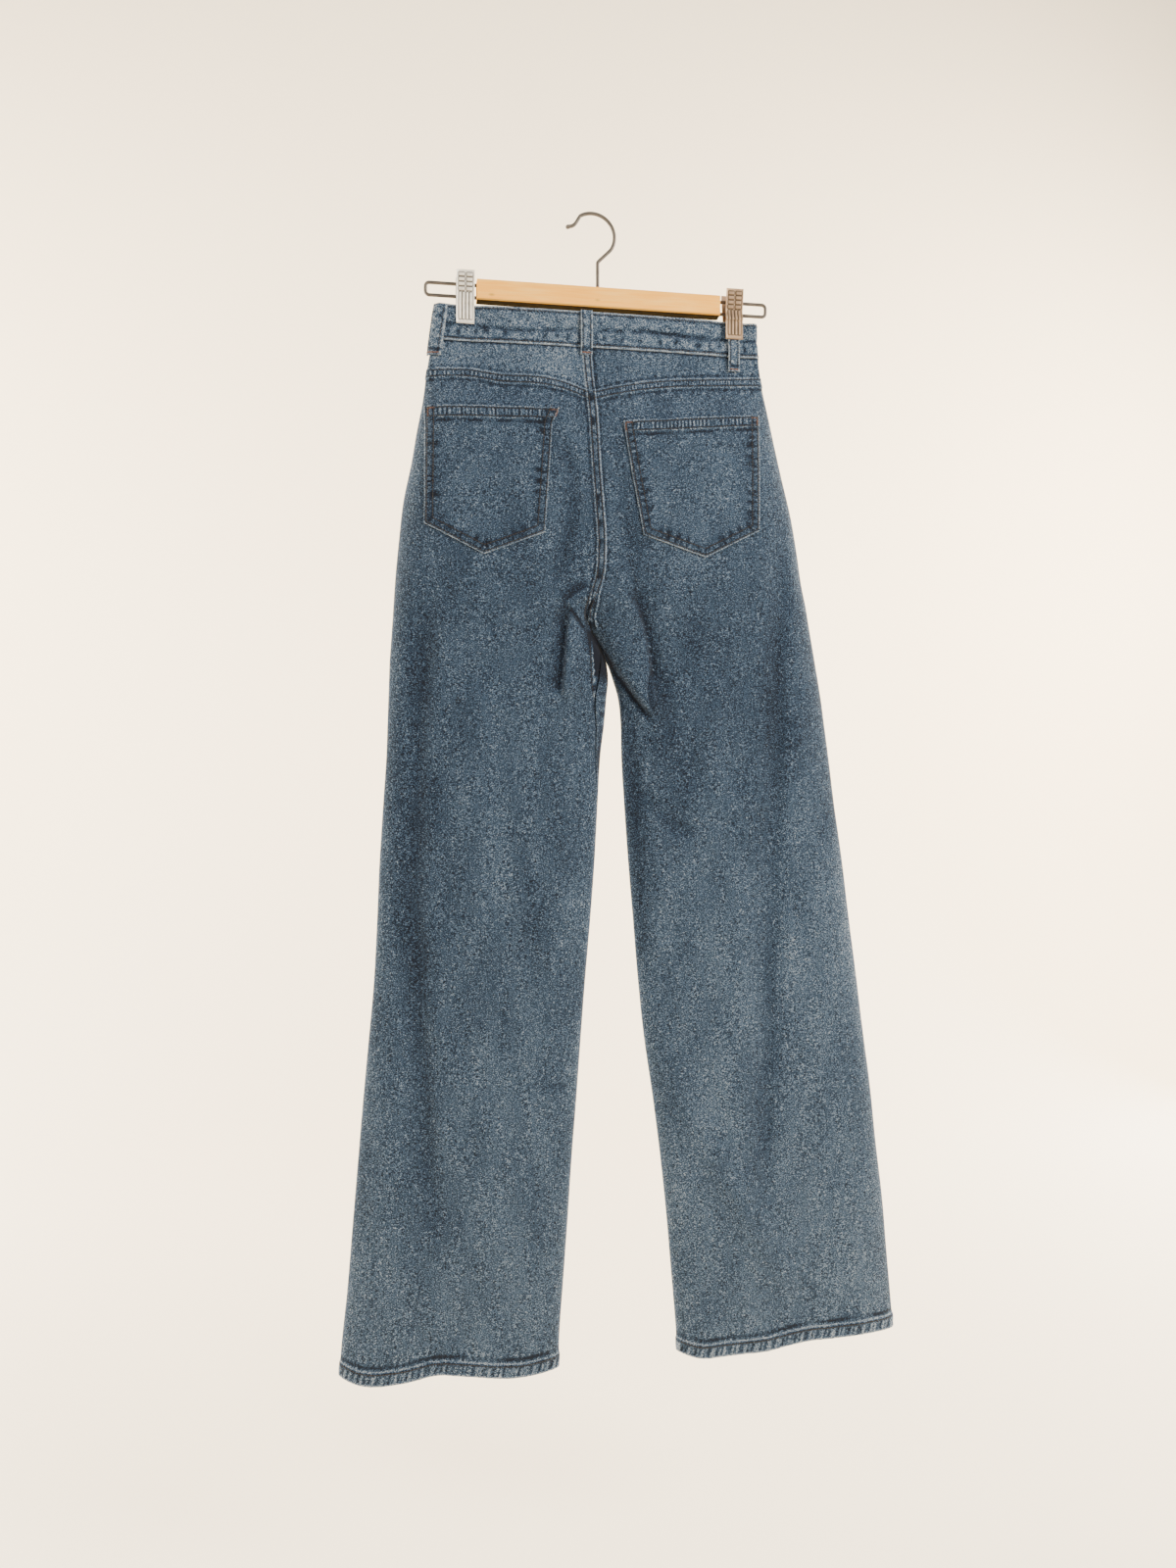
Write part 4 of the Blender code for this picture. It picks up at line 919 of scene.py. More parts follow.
def front_panel(side):
    side_theta = 4 - SIDE_SEAM_TURN - seam_turn(10)
    levels, theta, drop = front_grid(side, side_theta)
    middle = ring_point(side, theta, drop)
    if side == "left":
        add_fly_lap(middle, levels)
    x = middle[..., 0]
    relief, tone = seam_bands(side, "front", x, drop, theta)
    tone += folds("front", x, drop)[1] + wear_and_painted_light("front", x, drop)
    if side == "left":
        turned = (theta < 2) * step(CROTCH - 3, CROTCH + 3, drop)
        off = x - x[:, :1]
        lower = turned * step(474, 492, drop)
        # Painted shadow: the strip that turns under the right leg's flap at the crotch is darkened almost to
        # black.
        tone -= 2.6 * turned * fall(450, 482, drop)
        tone += lower * (1.2 * bell(off - 1.0, 0.8) - 0.9 * bell(off - 3.0, 0.9))
        tone += lower * (0.1 + 0.5 * dashes(55, drop, 9.0)) * step(3.8, 5.0, off)
    under = drop - front_dip(x) - WAIST_SEAM
    # Painted shadow: a dark line just under the waistband's lower edge.
    tone += 0.3 * ripple(51, x, drop, 9, 30) * bell(under, 7) - 0.6 * bell(under, 2.0)
    side_off = (side_theta - theta) * 22
    tone += 0.35 * ripple(52, x, drop, 40, 9) * bell(side_off, 6) + 0.35 * bell(side_off, 0.8)
    relief += 0.18 * ripple(53, x, drop, 40, 9) * bell(side_off, 7)
    scoop = np.maximum(0.0, scoop_offset(side, x, drop))
    tone += 0.5 * bell(scoop, 1.0) + 0.4 * ripple(54, x + drop, x - drop, 9, 12) * bell(scoop - 4, 5)
    relief += 0.5 * fall(8.5, 9.5, scoop)
    if side == "left":
        fly = np.abs(x - (fly_edge(drop) - 1.0))
        tone += fall(WAIST_SEAM + FLY_LENGTH, WAIST_SEAM + FLY_LENGTH + 10, drop) * (0.5 * bell(fly, 1.2))
    skin = Skin(*shell(
        f"cloth_front_{side}", middle, relief, tone, CLOTH, DENIM, f"front_panel_{side}",
    ))
    sew_hem(skin, side, 2.07, 3.86)
    for inset in (2.0, 8.0):
        row = []
        for angle in np.radians(np.linspace(2, 86, 40)):
            reach = (POCKET_SCOOP_WIDTH + inset) * math.cos(angle)
            row.append(scoop_place(side, (POCKET_SCOOP_DROP + inset) * math.sin(angle), reach))
        skin.sew(polyline([p for p in row if p[1] > WAIST_SEAM + float(front_dip(p[0])) + 2]))


def scoop_offset(side, x, drop):
    """About how far a front point is outside the scooped pocket's edge, less than 0 inside it."""
    outer = section(f"{side}_outer", drop)
    reach = np.abs(x - outer) / POCKET_SCOOP_WIDTH
    down = (drop - WAIST_SEAM - 0.5 * front_dip(x)) / POCKET_SCOOP_DROP
    return (np.hypot(reach, np.maximum(down, 0)) - 1) * 70


def fly_lap(levels):
    """How far the left front's edge laps over the right's."""
    return FLY_LAP * fall(WAIST_SEAM + FLY_LENGTH - 75, WAIST_SEAM + FLY_LENGTH - 30, levels)


def fly_edge(drop):
    return through(FRONT_CENTRE, np.minimum(drop, CROTCH)) + fly_lap(drop)


def add_fly_lap(middle, levels):
    """The left front's edge stands off and laps over, down to the end of the fly."""
    rise = CLOTH + LIE_GAP + 0.1
    near = middle[:, :1, 0] - middle[..., 0]
    fade = fall(WAIST_SEAM + FLY_LENGTH - 20, WAIST_SEAM + FLY_LENGTH + 5, levels)[:, None]
    middle[..., 1] += rise * fade * fall(6, 18, near)
    middle[..., 0] += fly_lap(levels)[:, None] * fall(0, 9, near)


def pocket_facing(side):
    reach = POCKET_SCOOP_WIDTH + 16
    near = 4 - SIDE_SEAM_TURN - seam_turn(8)
    rows, flush = [], []
    for down in np.linspace(0, POCKET_SCOOP_DROP + 14, 48):
        level = WAIST_SEAM + SEAM_GAP + down
        narrowed = reach * math.sqrt(max(0.0, 1 - (down / (POCKET_SCOOP_DROP + 30)) ** 2))
        far = float(theta_of(side, "front", inward(side, level, narrowed), level))
        theta = near + (far - near) * spread(64)
        x = ring_point(side, theta, level, False)[:, 0]
        row = ring_point(side, theta, level + front_dip(x) * max(0.0, 1 - down / POCKET_SCOOP_DROP))
        rows.append(row)
        from_edge = np.abs(row[:, 0] - section(f"{side}_outer", level))
        flush.append(fall(6, 20, from_edge) * float(fall(34, 46, down)))
    middle = np.array(rows)
    deep = (CLOTH + LIE_GAP + 0.35) * (1 - np.array(flush))
    middle = middle - normals(middle) * deep[..., None]
    x, drop = middle[..., 0], -middle[..., 2]
    inside = np.maximum(0.0, -scoop_offset(side, x, drop))
    tone = 0.1 + 0.25 * ripple(61, x, drop, 12, 20) * bell(drop - WAIST_SEAM - front_dip(x), 9)
    # Painted shade: darker just inside the scooped opening's edge.
    tone = tone - 0.5 * bell(inside, 4)
    shell(
        f"cloth_facing_{side}", middle, np.zeros(x.shape), tone, CLOTH, DENIM, f"pocket_facing_{side}",
    )


# Waistband, loops and pockets


def band_relief(face, x, down):
    """The waistband's crease, puckers and worn lines, with painted shade in the crease and at its rows of
    sewing, by the drop from its top edge.
    """
    if face == "back":
        seed, sag = 70, 19 + 3.5 * bell(x + 80, 45) - 2.0 * bell(x - 60, 50)
        crease = -1.1 * bell(down - sag, 2.2) * (1 - 0.8 * bell(x + 6.4, 12))
        branch = -0.8 * bell(down - 16 - 0.09 * (x - 60), 1.8) * step(30, 70, x) * fall(120, 140, x)
    else:
        seed, sag = 75, 20 + 3.0 * bell(x - 70, 50)
        crease = -0.8 * bell(down - sag, 2.6) * (1 - bell(x, 30))
        branch = 0.0
    low = BAND_HEIGHT - down
    relief = crease + branch + 0.22 * ripple(seed, x, down, 11, 40) * bell(low, 8)
    relief = relief + 0.25 * ripple(seed + 1, x, down, 34, 28)
    relief += 0.35 * bell(down - 9, 6) * ripple(seed + 2, x, down, 70, 60)
    # The dark lines under the top edge and above the lower edge stand for the sewing's thread and the painted
    # shade of its groove.
    tone = 0.36 + 0.9 * bell(down - 0.2, 1.3) - 0.8 * bell(down - 3.0, 0.9)
    tone = tone + 0.9 * bell(low - 0.6, 0.9) - 1.0 * bell(low - 3.2, 0.9)
    smudge = np.clip(dashes(seed + 3, x, 13.0, 2.0) - 0.25, 0, 1)
    smudged = 1.25 * smudge * bell(down - 26.5 - 1.2 * ripple(seed + 5, x, down, 40, 60), 3.2)
    tone -= smudged - 0.12 * bell(down - 27, 5)
    # Painted shade: the crease's depth darkens the tone.
    tone += 0.6 * (crease + branch) + 0.2 * ripple(seed + 4, x, down, 24, 12)
    return relief, tone


def waistband():
    """The strip round the waist. Its right end runs under its left end at the centre front."""
    under = BAND + SEAM_GAP
    stations = []
    for x in np.linspace(-34, 34, 34):
        side = "right" if x > 3.3 else "left"
        stations.append((side, float(theta_of(side, "front", x, 120)), -under * float(fall(12, 34, x))))
    right_front = float(theta_of("right", "front", 35.5, 120))
    share = np.linspace(0, 1, 120)
    stations += [("right", t, 0.0) for t in right_front + (4 - right_front) * share]
    stations += [("right", t, 0.0) for t in 2 * share[1:-1]]
    stations += [("left", t, 0.0) for t in 2 - 2 * share[1:]]
    stations += [("left", t, 0.0) for t in 4 - 1.98 * share[1:]]
    stations.append(("right", 2.02, 0.0))
    on_left = np.array([s[0] == "left" for s in stations])
    thetas = np.array([s[1] for s in stations])
    shifts = np.array([s[2] for s in stations])
    downs = np.linspace(0, 1, 30)
    middle_rows = []
    for down in downs:
        row = np.zeros((len(stations), 3))
        for side, mask in (("left", on_left), ("right", ~on_left)):
            x = ring_point(side, thetas[mask], 120, False)[:, 0]
            dip = np.where(thetas[mask] % 4 >= 2, front_dip(x), 0.0)
            row[mask] = ring_point(side, thetas[mask], WAIST_TOP + BAND_HEIGHT * down + dip, False)
        row[:, 1] += shifts
        middle_rows.append(row)
    middle = np.array(middle_rows)
    x = middle[..., 0]
    down = np.broadcast_to((downs * BAND_HEIGHT)[:, None], x.shape)
    back_relief, back_tone = band_relief("back", x, down)
    front_relief, front_tone = band_relief("front", x, down)
    is_back = np.broadcast_to((thetas % 4 < 2)[None, :], x.shape)
    pressed = 1 - pinch(x, WAIST_TOP + down) * (down < CLIP_BOTTOM - WAIST_TOP + 3)
    relief = np.where(is_back, back_relief, front_relief) * pressed
    tone = np.where(is_back, back_tone, front_tone)
    outer, normal = shell(
        "cloth_waistband", middle, relief, tone, BAND, DENIM_YOKE, "waistband",
        coarse=3,
    )
    for row in (2, 27):
        sew(outer[row, 34:-2], normal[row, 34:-2])


def loop_strip(where, face, x_centre, top, bottom, width=12.0, edge=False):
    """A belt loop, with stitches along each side and a bar of copper thread across its lower end, and across
    its upper end too on the front.
    """
    drops = np.linspace(top, bottom, 46)
    along = np.linspace(0, 1, 46)
    clear = np.interp(along, (0, 0.1, 0.22, 0.55, 0.8, 0.9, 1.0), (0, 0.2, 0.8, 1.0, 0.9, 0.3, 0))
    if edge:
        across = np.linspace(-0.5, 0.5, 22)
        drop, theta = np.meshgrid(drops, np.linspace(-0.01, 0.33, 22), indexing="ij")
        middle = ring_point("left", theta, drop, False)
        lift = BAND / 2 + LIE_GAP + 0.3 + LOOP_CLOTH / 2 + 0.7 * clear[:, None]
        middle = middle + normals(middle) * lift[..., None]
    else:
        across = np.linspace(-0.5, 0.5, 18)
        drop, share = np.meshgrid(drops, across, indexing="ij")
        side = "left" if x_centre < CENTRE_X else "right"
        x = x_centre + share * width
        lift = LIE_GAP + 0.25 + LOOP_CLOTH / 2 + clear[:, None]
        seam = WAIST_SEAM + (front_dip(x) if face == "front" else 0.0)
        heights = []
        for d in (drop - 2, drop, drop + 2):
            y = ring_point(side, theta_of(side, face, x, d), d, False)[..., 1]
            half = np.where(d < seam + 3, BAND / 2, CLOTH / 2)
            heights.append(y - (half + lift) if face == "back" else y + half + lift)
        y = np.min(heights, axis=0) if face == "back" else np.max(heights, axis=0)
        middle = np.stack([x, y, -drop], axis=-1)
    v, u = np.meshgrid(along * (bottom - top), across * width, indexing="ij")
    edge_off = width / 2 - np.abs(u)
    relief = 0.25 * bell(edge_off - 2.6, 1.6) - 0.2 * bell(u, 2.0) + 0.12 * ripple(81, u, v, 8, 9)
    # The dark lines inside the edges stand for the sewing's thread and the painted shade of its groove.
    tone = 0.42 + 0.8 * bell(edge_off - 0.3, 0.8) - 0.55 * bell(edge_off - 2.2, 0.7)
    tone = tone + 0.3 * ripple(82 + int(abs(x_centre)), u, v, 9, 8)
    tone -= 0.9 * bell(v - (bottom - top) + 5.5, 1.6)
    outer, normal = shell(
        f"cloth_loop_{where}", middle, relief, tone, LOOP_CLOTH, DENIM_TRIM, f"belt_loop_{where}",
        coarse=2,
    )
    for part in (0.2, 0.8):
        column = int(outer.shape[1] * part)
        sew(outer[3:-4, column], normal[3:-4, column], radius=0.4)
    for row in (-3, 3) if face == "front" else (-3,):
        bar_tack(outer[row, 2:-2], normal[row, 2:-2], 0.9)


def bar_tack(line, ups, reach):
    """A dense bar of copper thread across a line."""
    line, ups = np.asarray(line, float), np.asarray(ups, float)
    run = run_along(line)
    along = unit(line[-1] - line[0])
    for k, at in enumerate(np.arange(0.3, run[-1], 0.7)):
        centre = at_run(at, run, line)
        up = unit(at_run(at, run, ups))
        side = np.cross(up, along)
        lean = along * (0.25 if k % 2 else -0.25)
        ends = (centre - side * reach + lean, centre + side * reach - lean)
        STITCHES["copper"].append(capsule_points(*ends, up, 0.3, 0.25))


def pocket_grid(corner):
    """The x and drop of a pocket's grid, which fills its outline from its top edge to its pointed foot."""
    count = 190
    a = np.linspace(0, 1, count)
    low, tip = corner["outer_low"], corner["tip"]
    tip_share = abs(tip[0] - low[0]) / abs(corner["inner_low"][0] - low[0])
    base = low + (corner["inner_low"] - low) * tip_share
    edges = (
        polyline([corner["top_outer"], low], 1.0),
        polyline([corner["top_inner"], corner["inner_bend"], corner["inner_low"]], 1.0),
    )
    vee = np.where(a < tip_share, a / tip_share, (1 - a) / (1 - tip_share))
    x, drop = np.zeros((count, count)), np.zeros((count, count))
    for r, b in enumerate(np.linspace(0, 1, count)):
        first, last = [at_run(b, np.linspace(0, 1, len(edge)), edge) for edge in edges]
        straight = first[None] * (1 - a[:, None]) + last[None] * a[:, None]
        x[r], drop[r] = straight[:, 0], straight[:, 1] + (tip - base)[1] * vee * b**2.2
    return x, drop


def pocket(side):
    """A back patch pocket: its outline filled with a grid, laid on the back panel's surface."""
    corner = {name: np.array(p, float) for name, p in zip(POCKET_COLUMNS, POCKET[side])}
    x, drop = pocket_grid(corner)
    middle = ring_point(side, theta_of(side, "back", x, drop), drop)
    middle = middle + normals(middle) * (CLOTH / 2 + LIE_GAP + POCKET_CLOTH / 2)
    corners = [corner[n] for n in ("top_outer", "outer_low", "tip", "inner_low", "inner_bend", "top_inner")]
    border, place, run = np.full(x.shape, 1e9), np.zeros(x.shape), 0.0
    for p, q in zip(corners, corners[1:]):
        d, along = segment_distance(x, drop, p, q)
        place = np.where(d < border, run + along, place)
        border = np.minimum(border, d)
        run += float(np.linalg.norm(q - p))
    top_off = segment_distance(x, drop, corners[0], corners[-1])[0]
    seed = 90 if side == "left" else 95
    smudge = dashes(seed, place, 7.0) * (0.65 + 0.35 * dashes(seed + 5, place, 42.0))
    blots = np.clip(0.3 - dashes(seed + 1, place, 15.0), 0, 1) * (0.6 + 0.4 * dashes(seed + 6, place, 70.0))
    marks = dashes(seed + 2, x, 4.8, 1.7)
    relief = 0.3 * bell(border - 5, 4) + 0.3 * smudge * bell(border - 6, 6) - 0.35 * bell(border, 1.2)
    in_hem = fall(11.8, 12.8, top_off)
    relief += 0.6 * in_hem + 0.2 * marks * in_hem
    tone = felled(border, 10.0, np.minimum(smudge, 0.25), 0.1, -0.04)
    tone = tone - 0.95 * blots * bell(border - 10.0, 4.2)
    inner = step(10, 13, border)
    top_tone = inner * felled(top_off, 12.3, marks, 0.8, 0.0)
    top_tone = top_tone + (1 - inner) * (tone + 0.9 * bell(top_off, 0.9))
    tone = np.where(top_off < 12.3, top_tone, tone)
    # Painted shadow: a dark line just below the pocket's top hem.
    tone -= 1.0 * bell(top_off - 14.8, 1.5) * (0.6 + 0.4 * dashes(seed + 3, x, 45.0))
    tone += wear_and_painted_light("back", x, drop) + 0.03 * ripple(seed + 4, x, drop, 40, 50)
    skin = Skin(*shell(
        f"cloth_pocket_{side}", middle, relief, tone, POCKET_CLOTH, DENIM, f"back_pocket_{side}",
        coarse=5,
    ))
    sew_pocket(skin, corners, np.array([x.mean(), drop.mean()]))


def sew_pocket(skin, corners, centre):
    """Two rows round the pocket, two along its top hem, and bar tacks at its top corners."""
    for inset in SEAM_ROWS:
        skin.sew(polyline(inset_line(corners, centre, inset)))
    outer, inner = corners[0], corners[-1]
    for offset in (1.9, 10.4):
        first = outer + unit(corners[1] - outer) * offset
        last = inner + unit(corners[-2] - inner) * offset
        trim = unit(last - first) * 2
        skin.sew(polyline([first + trim, last - trim]))
    for corner, other in ((outer, inner), (inner, outer)):
        towards = unit(other - corner)
        line, ups = skin.at([corner + towards * s + np.array([0, 2.0]) for s in np.linspace(1.5, 9.0, 8)])
        bar_tack(line, ups, 0.9)
        line, ups = skin.at([corner + towards * 2.2 + np.array([0, s]) for s in np.linspace(2.5, 10.0, 8)])
        bar_tack(line, ups, 0.8)


def inset_line(corners, centre, inset):
    """A polyline moved towards a centre by an even distance."""
    offset = []
    for p, q in zip(corners, corners[1:]):
        direction = unit(q - p)
        across = np.array([-direction[1], direction[0]])
        if across @ (centre - (p + q) / 2) < 0:
            across = -across
        offset.append((p + across * inset, direction))
    points = [offset[0][0]]
    for (p, d), (q, e) in zip(offset, offset[1:]):
        t = np.linalg.solve(np.array([d, -e]).T, q - p)
        points.append(p + d * t[0])
    return points + [corners[-1] + (offset[-1][0] - corners[-2])]


# The hanger


def tube(name, path, radii, material, replaces, sides=16):
    """A round tube along points, with its own radius at each."""
    path = np.array(path, float)
    heading = np.gradient(path, axis=0)
    heading /= np.linalg.norm(heading, axis=1, keepdims=True)
    points = []
    for (x, y, z), (hx, hy, hz), radius in zip(path, heading, radii):
        side = np.array([-hz, 0.0, hx])
        side /= max(np.linalg.norm(side), 1e-6)
        deep = np.cross(side, np.array([hx, hy, hz]))
        for k in range(sides):
            turn = 2 * math.pi * k / sides
            points.append(np.array([x, y, z]) + radius * (side * math.cos(turn) + deep * math.sin(turn)))
    faces = turned_faces(len(path), sides)
    faces.append(tuple(range(sides))[::-1])
    faces.append(tuple(range(len(points) - sides, len(points))))
    add_piece(name, points, faces, material, replaces)


def smooth_path(points, steps=8):
    points = np.array(points, float)
    place = np.arange(len(points))
    at = np.linspace(0, len(points) - 1, (len(points) - 1) * steps + 1)
    return np.stack([through(np.stack([place, column], axis=1), at) for column in points.T], axis=1)


def arc(centre, radius, start, end, count):
    turns = np.radians(np.linspace(start, end, count + 1))
    return [(centre[0] + radius * math.cos(t), centre[1] + radius * math.sin(t)) for t in turns]


def hook():
    """The upright stem, the round hook and its upturned tip with a rolled end."""
    circle = arc((0.0, 1.5 - HOOK_RADIUS), HOOK_RADIUS, -28, 122, 60)
    x, z = circle[0]
    stem = [(STEM_X, z_at) for z_at in (-87.6, -75.6, -60.0, -53.0)]
    bend = [(STEM_X, -50.5), (5.9, -48.6), (7.6, -46.2), (x - 4.4, z - 5.0), (x - 1.4, z - 2.0)]
    tail = smooth_path([circle[-1], (-17.0, -9.8), (-20.0, -12.4), (-23.0, -13.4)], 6)[1:]
    path = stem + [tuple(p) for p in smooth_path(bend, 4)] + circle + [tuple(p) for p in tail]
    tip = np.array(path[-1])
    heading = unit(tip - np.array(path[-2]))
    radii = [HOOK_WIRE_RADIUS] * len(path)
    for forward, radius in HOOK_END:
        path.append(tuple(tip + heading * forward))
        radii.append(radius)
    tube("detail_hook", [(x, 0.0, z) for x, z in path], radii, STEEL, ("hanger_hook",))


def wire_loop(side):
    bar_end, far_end = WIRE_ENDS[side]
    towards = 1 if far_end > bar_end else -1
    inside = bar_end - towards * 14.0
    corner = far_end - towards * (1.4 + WIRE_BEND)
    outward, low_turn = (0, (0, -90)) if towards > 0 else (180, (180, 270))
    turns = arc((corner, WIRE_TOP - WIRE_BEND), WIRE_BEND, 90, outward, 10)
    turns += arc((corner, WIRE_LOW + WIRE_BEND), WIRE_BEND, *low_turn, 10)
    leg = np.linspace(inside, corner - towards * 2, 12)
    path = [(x, WIRE_TOP) for x in leg] + turns + [(x, WIRE_LOW) for x in leg[::-1]]
    radii = [WIRE_RADIUS] * len(path)
    path = [(x, 0.0, z) for x, z in path]
    tube(f"detail_wire_{side}", path, radii, STEEL, (f"hanger_wire_{side}",))


def clip_relief(u, v):
    """The jaw's stamped pattern: eight small bars on the lever, four ribs on the grip, and painted shade in
    the grooves round them.
    """
    raised, groove_shade = np.zeros(u.shape), np.zeros(u.shape)
    for column in (-1, 1):
        for row in range(4):
            du = np.abs(u - column * 4.0) - 2.4
            dv = np.abs(v - (4.6 + row * 4.5)) - 1.05
            outside = np.hypot(np.maximum(du, 0), np.maximum(dv, 0))
            raised += 0.75 * bell(outside, 0.55)
            groove_shade += bell(outside - 0.85, 0.62)
    for rib in (-5.4, -1.8, 1.8, 5.4):
        dv = np.abs(v - 34.5) - 12.5
        outside = np.hypot(np.maximum(np.abs(u - rib) - 0.55, 0), np.maximum(dv, 0))
        raised += 0.7 * bell(outside, 0.6)
        groove_shade += bell(outside - 0.95, 0.55)
    edge = CLIP_WIDTH / 2 - np.abs(u)
    return np.clip(raised, 0, 0.8) + 0.45 * bell(edge - 0.5, 0.7), np.clip(groove_shade, 0, 1)


def clip_jaw(side, face, x, over_loop):
    """A pressed jaw: a lever above, closed on the waistband below, over a belt loop where one lies there."""
    jaw = BAND + 0.3 + LIE_GAP + CLIP_SHEET / 2
    if over_loop:
        jaw += LIE_GAP + 0.25 + LOOP_CLOTH + 1.3
    facing = -1 if face == "back" else 1
    line = ((10.2, CLIP_TOP), (9.3, 76.0), (7.5, 85.0), (6.2, 91.0), (jaw + 1.0, 99.0), (jaw, 103.0))
    line += ((jaw, 117.5), (jaw + 0.5, CLIP_BOTTOM))
    path = smooth_path(line, 16)
    run = run_along(path)
    at = np.linspace(0, run[-1], 132)
    depth, drop = at_run(at, run, path)
    u = np.linspace(-CLIP_WIDTH / 2, CLIP_WIDTH / 2, 50)
    rows, columns = len(at), len(u)
    middle = np.zeros((rows, columns, 3))
    middle[..., 0] = x + u[None]
    middle[..., 1] = facing * depth[:, None]
    middle[..., 2] = -drop[:, None]
    normal = normals(middle)
    raised, groove_shade = clip_relief(*np.meshgrid(u, at))
    outer = middle + normal * (CLIP_SHEET / 2 - 0.35 + raised)[..., None]
    inner = middle - normal * (CLIP_SHEET / 2)
    out = faces_out(middle)
    size = rows * columns
    points = np.concatenate([outer.reshape(-1, 3), inner.reshape(-1, 3)])
    faces = quads(rows, columns, 0, out) + quads(rows, columns, size, not out)
    faces += rim_faces([r * columns + c for r, c in grid_edge(rows, columns)], size, out)
    # Painted shade in the grooves round the stamped bars and ribs.
    tone = np.concatenate([(1 - 0.9 * groove_shade).ravel(), np.full(size, 0.8)])
    # Painted reflection: the right clip takes the darker, warm copy of the metal.
    metal = CLIP_METAL if side == "left" else CLIP_METAL_PAINTED_REFLECTION
    replaced = (f"clip_{side}_{face}_jaw",)
    add_piece(f"detail_clip_{side}_{face}", points, faces, metal, replaced, tone)


def button():
    """A shank button with a raised rim, a raised ring and a dished middle."""
    x = -7.0
    drop = WAIST_TOP + float(front_dip(x)) + BAND_HEIGHT / 2
    theta = float(theta_of("left", "front", x, drop))
    base = float(ring_point("left", theta, drop, False)[1]) + BAND / 2 + LIE_GAP
    profile = ((0.0, 0.0), (3.2, 0.0), (3.2, 1.3), (4.5, 1.6), (8.0, 1.7), (8.45, 2.1), (8.5, 2.9))
    profile += ((8.1, 3.5), (7.5, 3.9), (6.9, 3.8), (6.5, 3.3), (5.6, 3.1), (5.0, 3.35), (4.4, 3.1))
    profile += ((2.4, 3.0), (1.6, 3.3), (0.0, 3.4))
    steps, points = 40, []
    for radius, height in profile:
        for k in range(steps):
            turn = 2 * math.pi * k / steps
            points.append((x + radius * math.cos(turn), base + height, -drop + radius * math.sin(turn)))
    faces = [face[::-1] for face in turned_faces(len(profile), steps)]
    add_piece("detail_button", points, faces, BRASS, ("button",))


def stitches():
    for colour, material in (("brown", THREAD), ("copper", COPPER)):
        groups = {"back": [], "front": []}
        for stitch in STITCHES[colour]:
            groups["back" if stitch[:, 1].mean() < 0 else "front"].append(stitch)
        for where, group in groups.items():
            if group:
                faces = [face for k in range(len(group)) for face in stitch_faces(20 * k)]
                add_piece(f"sewing_{colour}_{where}", np.concatenate(group), faces, material)


def finish_hanger():
    for name, material in (("hanger_bar", WOOD), ("clip_left_core", STEEL), ("clip_right_core", STEEL)):
        made = bpy.data.objects[name]
        made.data.materials.clear()
        made.data.materials.append(material)


# Stage, light and camera


def plain(name, colour, roughness):
    made, _, shader = new_material(name, roughness)
    shader.inputs["Base Color"].default_value = (*colour, 1)
    return made


def floor():
    """A pale floor that sweeps up far behind the garment."""
    turns = np.radians(np.arange(6, 91, 6))
    sweep = [(1.6 + 0.9 * math.sin(a), -0.52 - 0.9 * math.cos(a)) for a in turns]
    profile = [(-3.2, -1.42), (1.6, -1.42)] + sweep + [(2.5, 2.4)]
    points = [(x, y, z) for y, z in profile for x in (-4.0, 4.0)]
    faces = [(2 * k, 2 * k + 1, 2 * k + 3, 2 * k + 2) for k in range(len(profile) - 1)]
    mesh = bpy.data.meshes.new("floor")
    mesh.from_pydata(points, [], faces)
    mesh.shade_smooth()
    mesh.materials.append(plain("floor_pale", (0.92, 0.82, 0.65), 0.9))
    made = link("floor", mesh)


def lamp(name, place, target, size, power, colour):
    light = bpy.data.lights.new(name, "AREA")
    light.energy, light.size, light.color = power, size, colour
    made = link(name, light)
    made.location = place
    away = np.array(target) - np.array(place)
    tilt = math.atan2(math.hypot(away[0], away[1]), -away[2])
    made.rotation_euler = (tilt, 0, math.atan2(away[1], away[0]) - math.pi / 2)


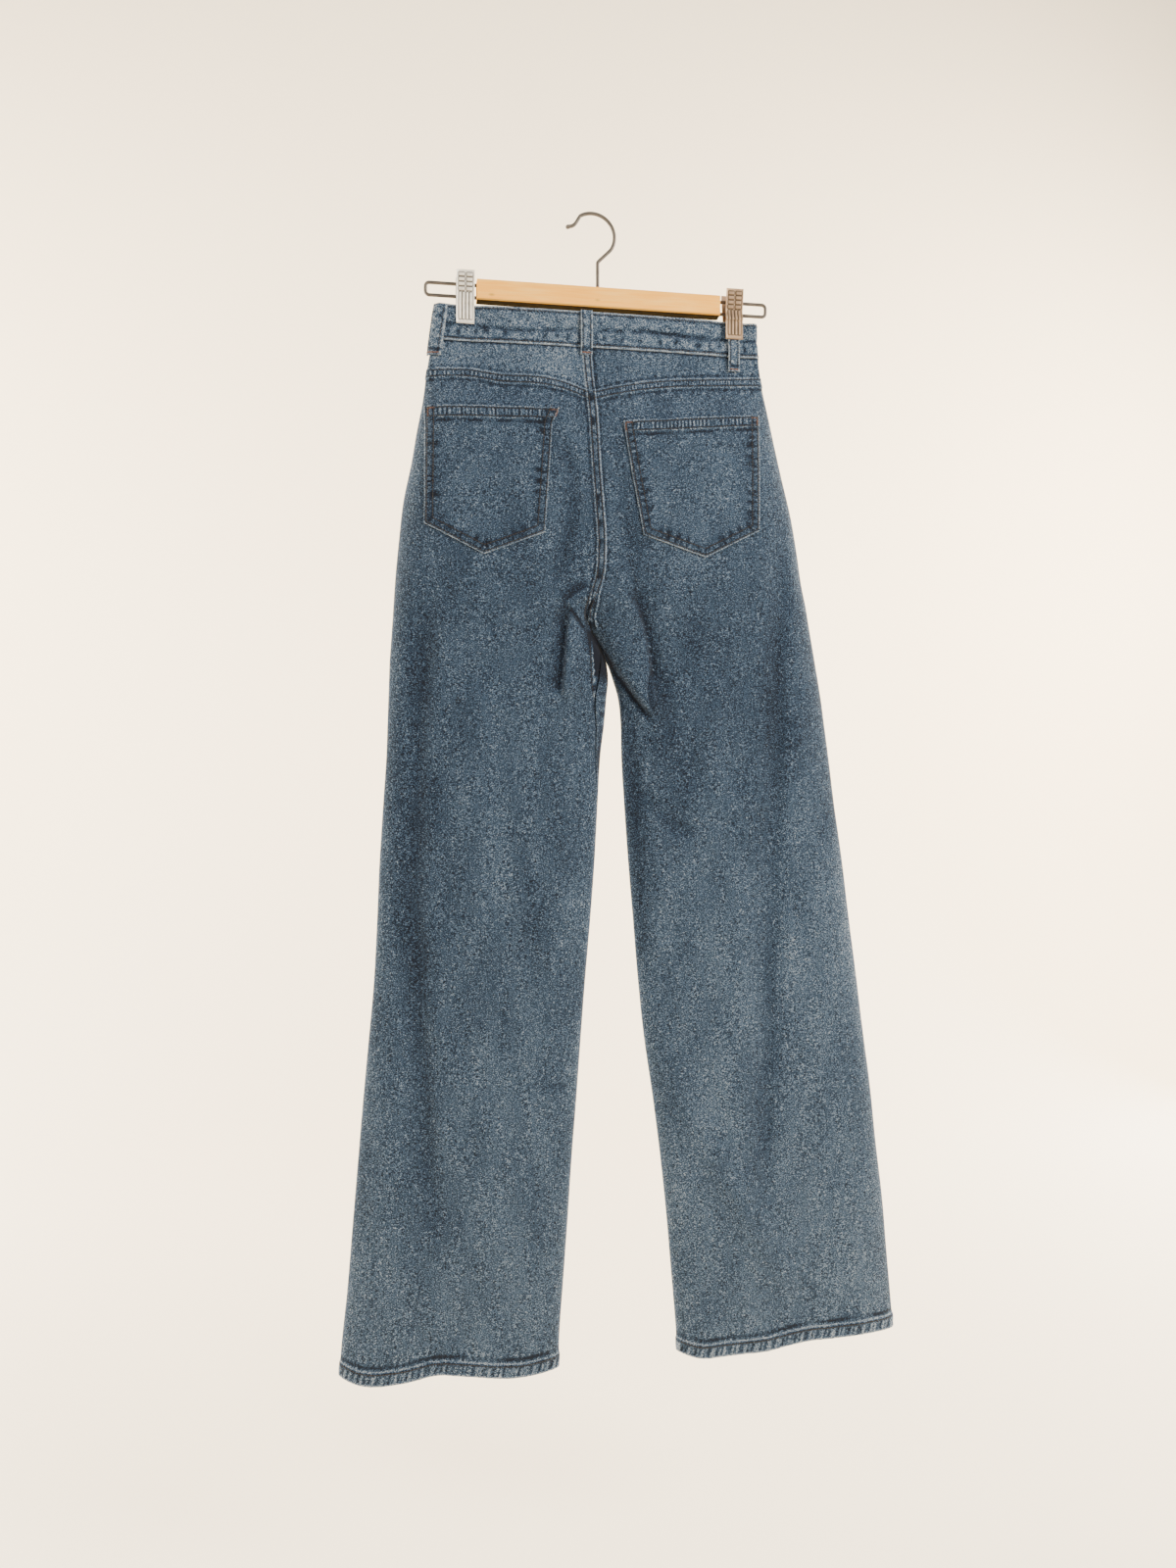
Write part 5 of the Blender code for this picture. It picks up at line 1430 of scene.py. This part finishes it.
def light_and_camera():
    world = bpy.data.worlds.new("studio")
    world.use_nodes = True
    sky = world.node_tree.nodes["Background"]
    sky.inputs["Color"].default_value = (0.95, 0.96, 1.0, 1)
    sky.inputs["Strength"].default_value = 0.62
    bpy.context.scene.world = world
    lamp("key", (1.7, -1.5, 0.5), (0.05, 0, -0.6), 0.9, 98, (1.0, 0.97, 0.92))
    lamp("side", (-1.9, -1.2, -0.2), (0.0, 0, -0.7), 1.2, 23, (1.0, 0.96, 0.90))
    for side in (-1, 1):
        lamp(f"wall_{side}", (side * 2.6, 0.7, 0.3), (side * 0.2, 2.4, -0.5), 1.7, 320, (1.0, 0.87, 0.68))
        lamp(f"front_{side}", (side * 2.2, 1.3, -0.6), (0, 0, -0.6), 1.0, 50, (0.5, 0.68, 1.0))
    yaw = math.radians(CAMERA_YAW)
    camera = bpy.data.cameras.new("camera")
    camera.sensor_width, camera.lens = SENSOR, SENSOR * FOCAL_PIXELS / PHOTO_PIXELS
    made = link("camera", camera)
    made.location = (
        -CAMERA_DISTANCE * math.sin(yaw) - CAMERA_ASIDE * math.cos(yaw),
        -CAMERA_DISTANCE * math.cos(yaw) + CAMERA_ASIDE * math.sin(yaw),
        CAMERA_HEIGHT,
    )
    made.rotation_euler = (math.pi / 2, 0, -yaw)
    camera.clip_start, camera.clip_end = 0.01, 50
    bpy.context.scene.camera = made


def main():
    light_and_camera()
    floor()
    waistband()
    for side in ("left", "right"):
        back_panel(side)
        back_yoke(side)
        front_panel(side)
        pocket_facing(side)
        pocket(side)
    loop_strip("left_back", "back", -154.0, WAIST_TOP + 1.5, 154.0, edge=True)
    loop_strip("centre", "back", -6.8, WAIST_TOP - 0.5, 145.5)
    loop_strip("right_back", "back", 148.4, WAIST_TOP + 0.5, 153.0)
    for side, x in (("left", -82.0), ("right", 96.0)):
        top = WAIST_TOP + float(front_dip(x))
        loop_strip(f"{side}_front", "front", x, top, 158.0)
    stitches()
    hook()
    wire_loop("left")
    wire_loop("right")
    for face in ("back", "front"):
        clip_jaw("left", face, CLIP_LEFT_X, False)
        clip_jaw("right", face, CLIP_RIGHT_X, face == "back")
    button()
    finish_hanger()


main()
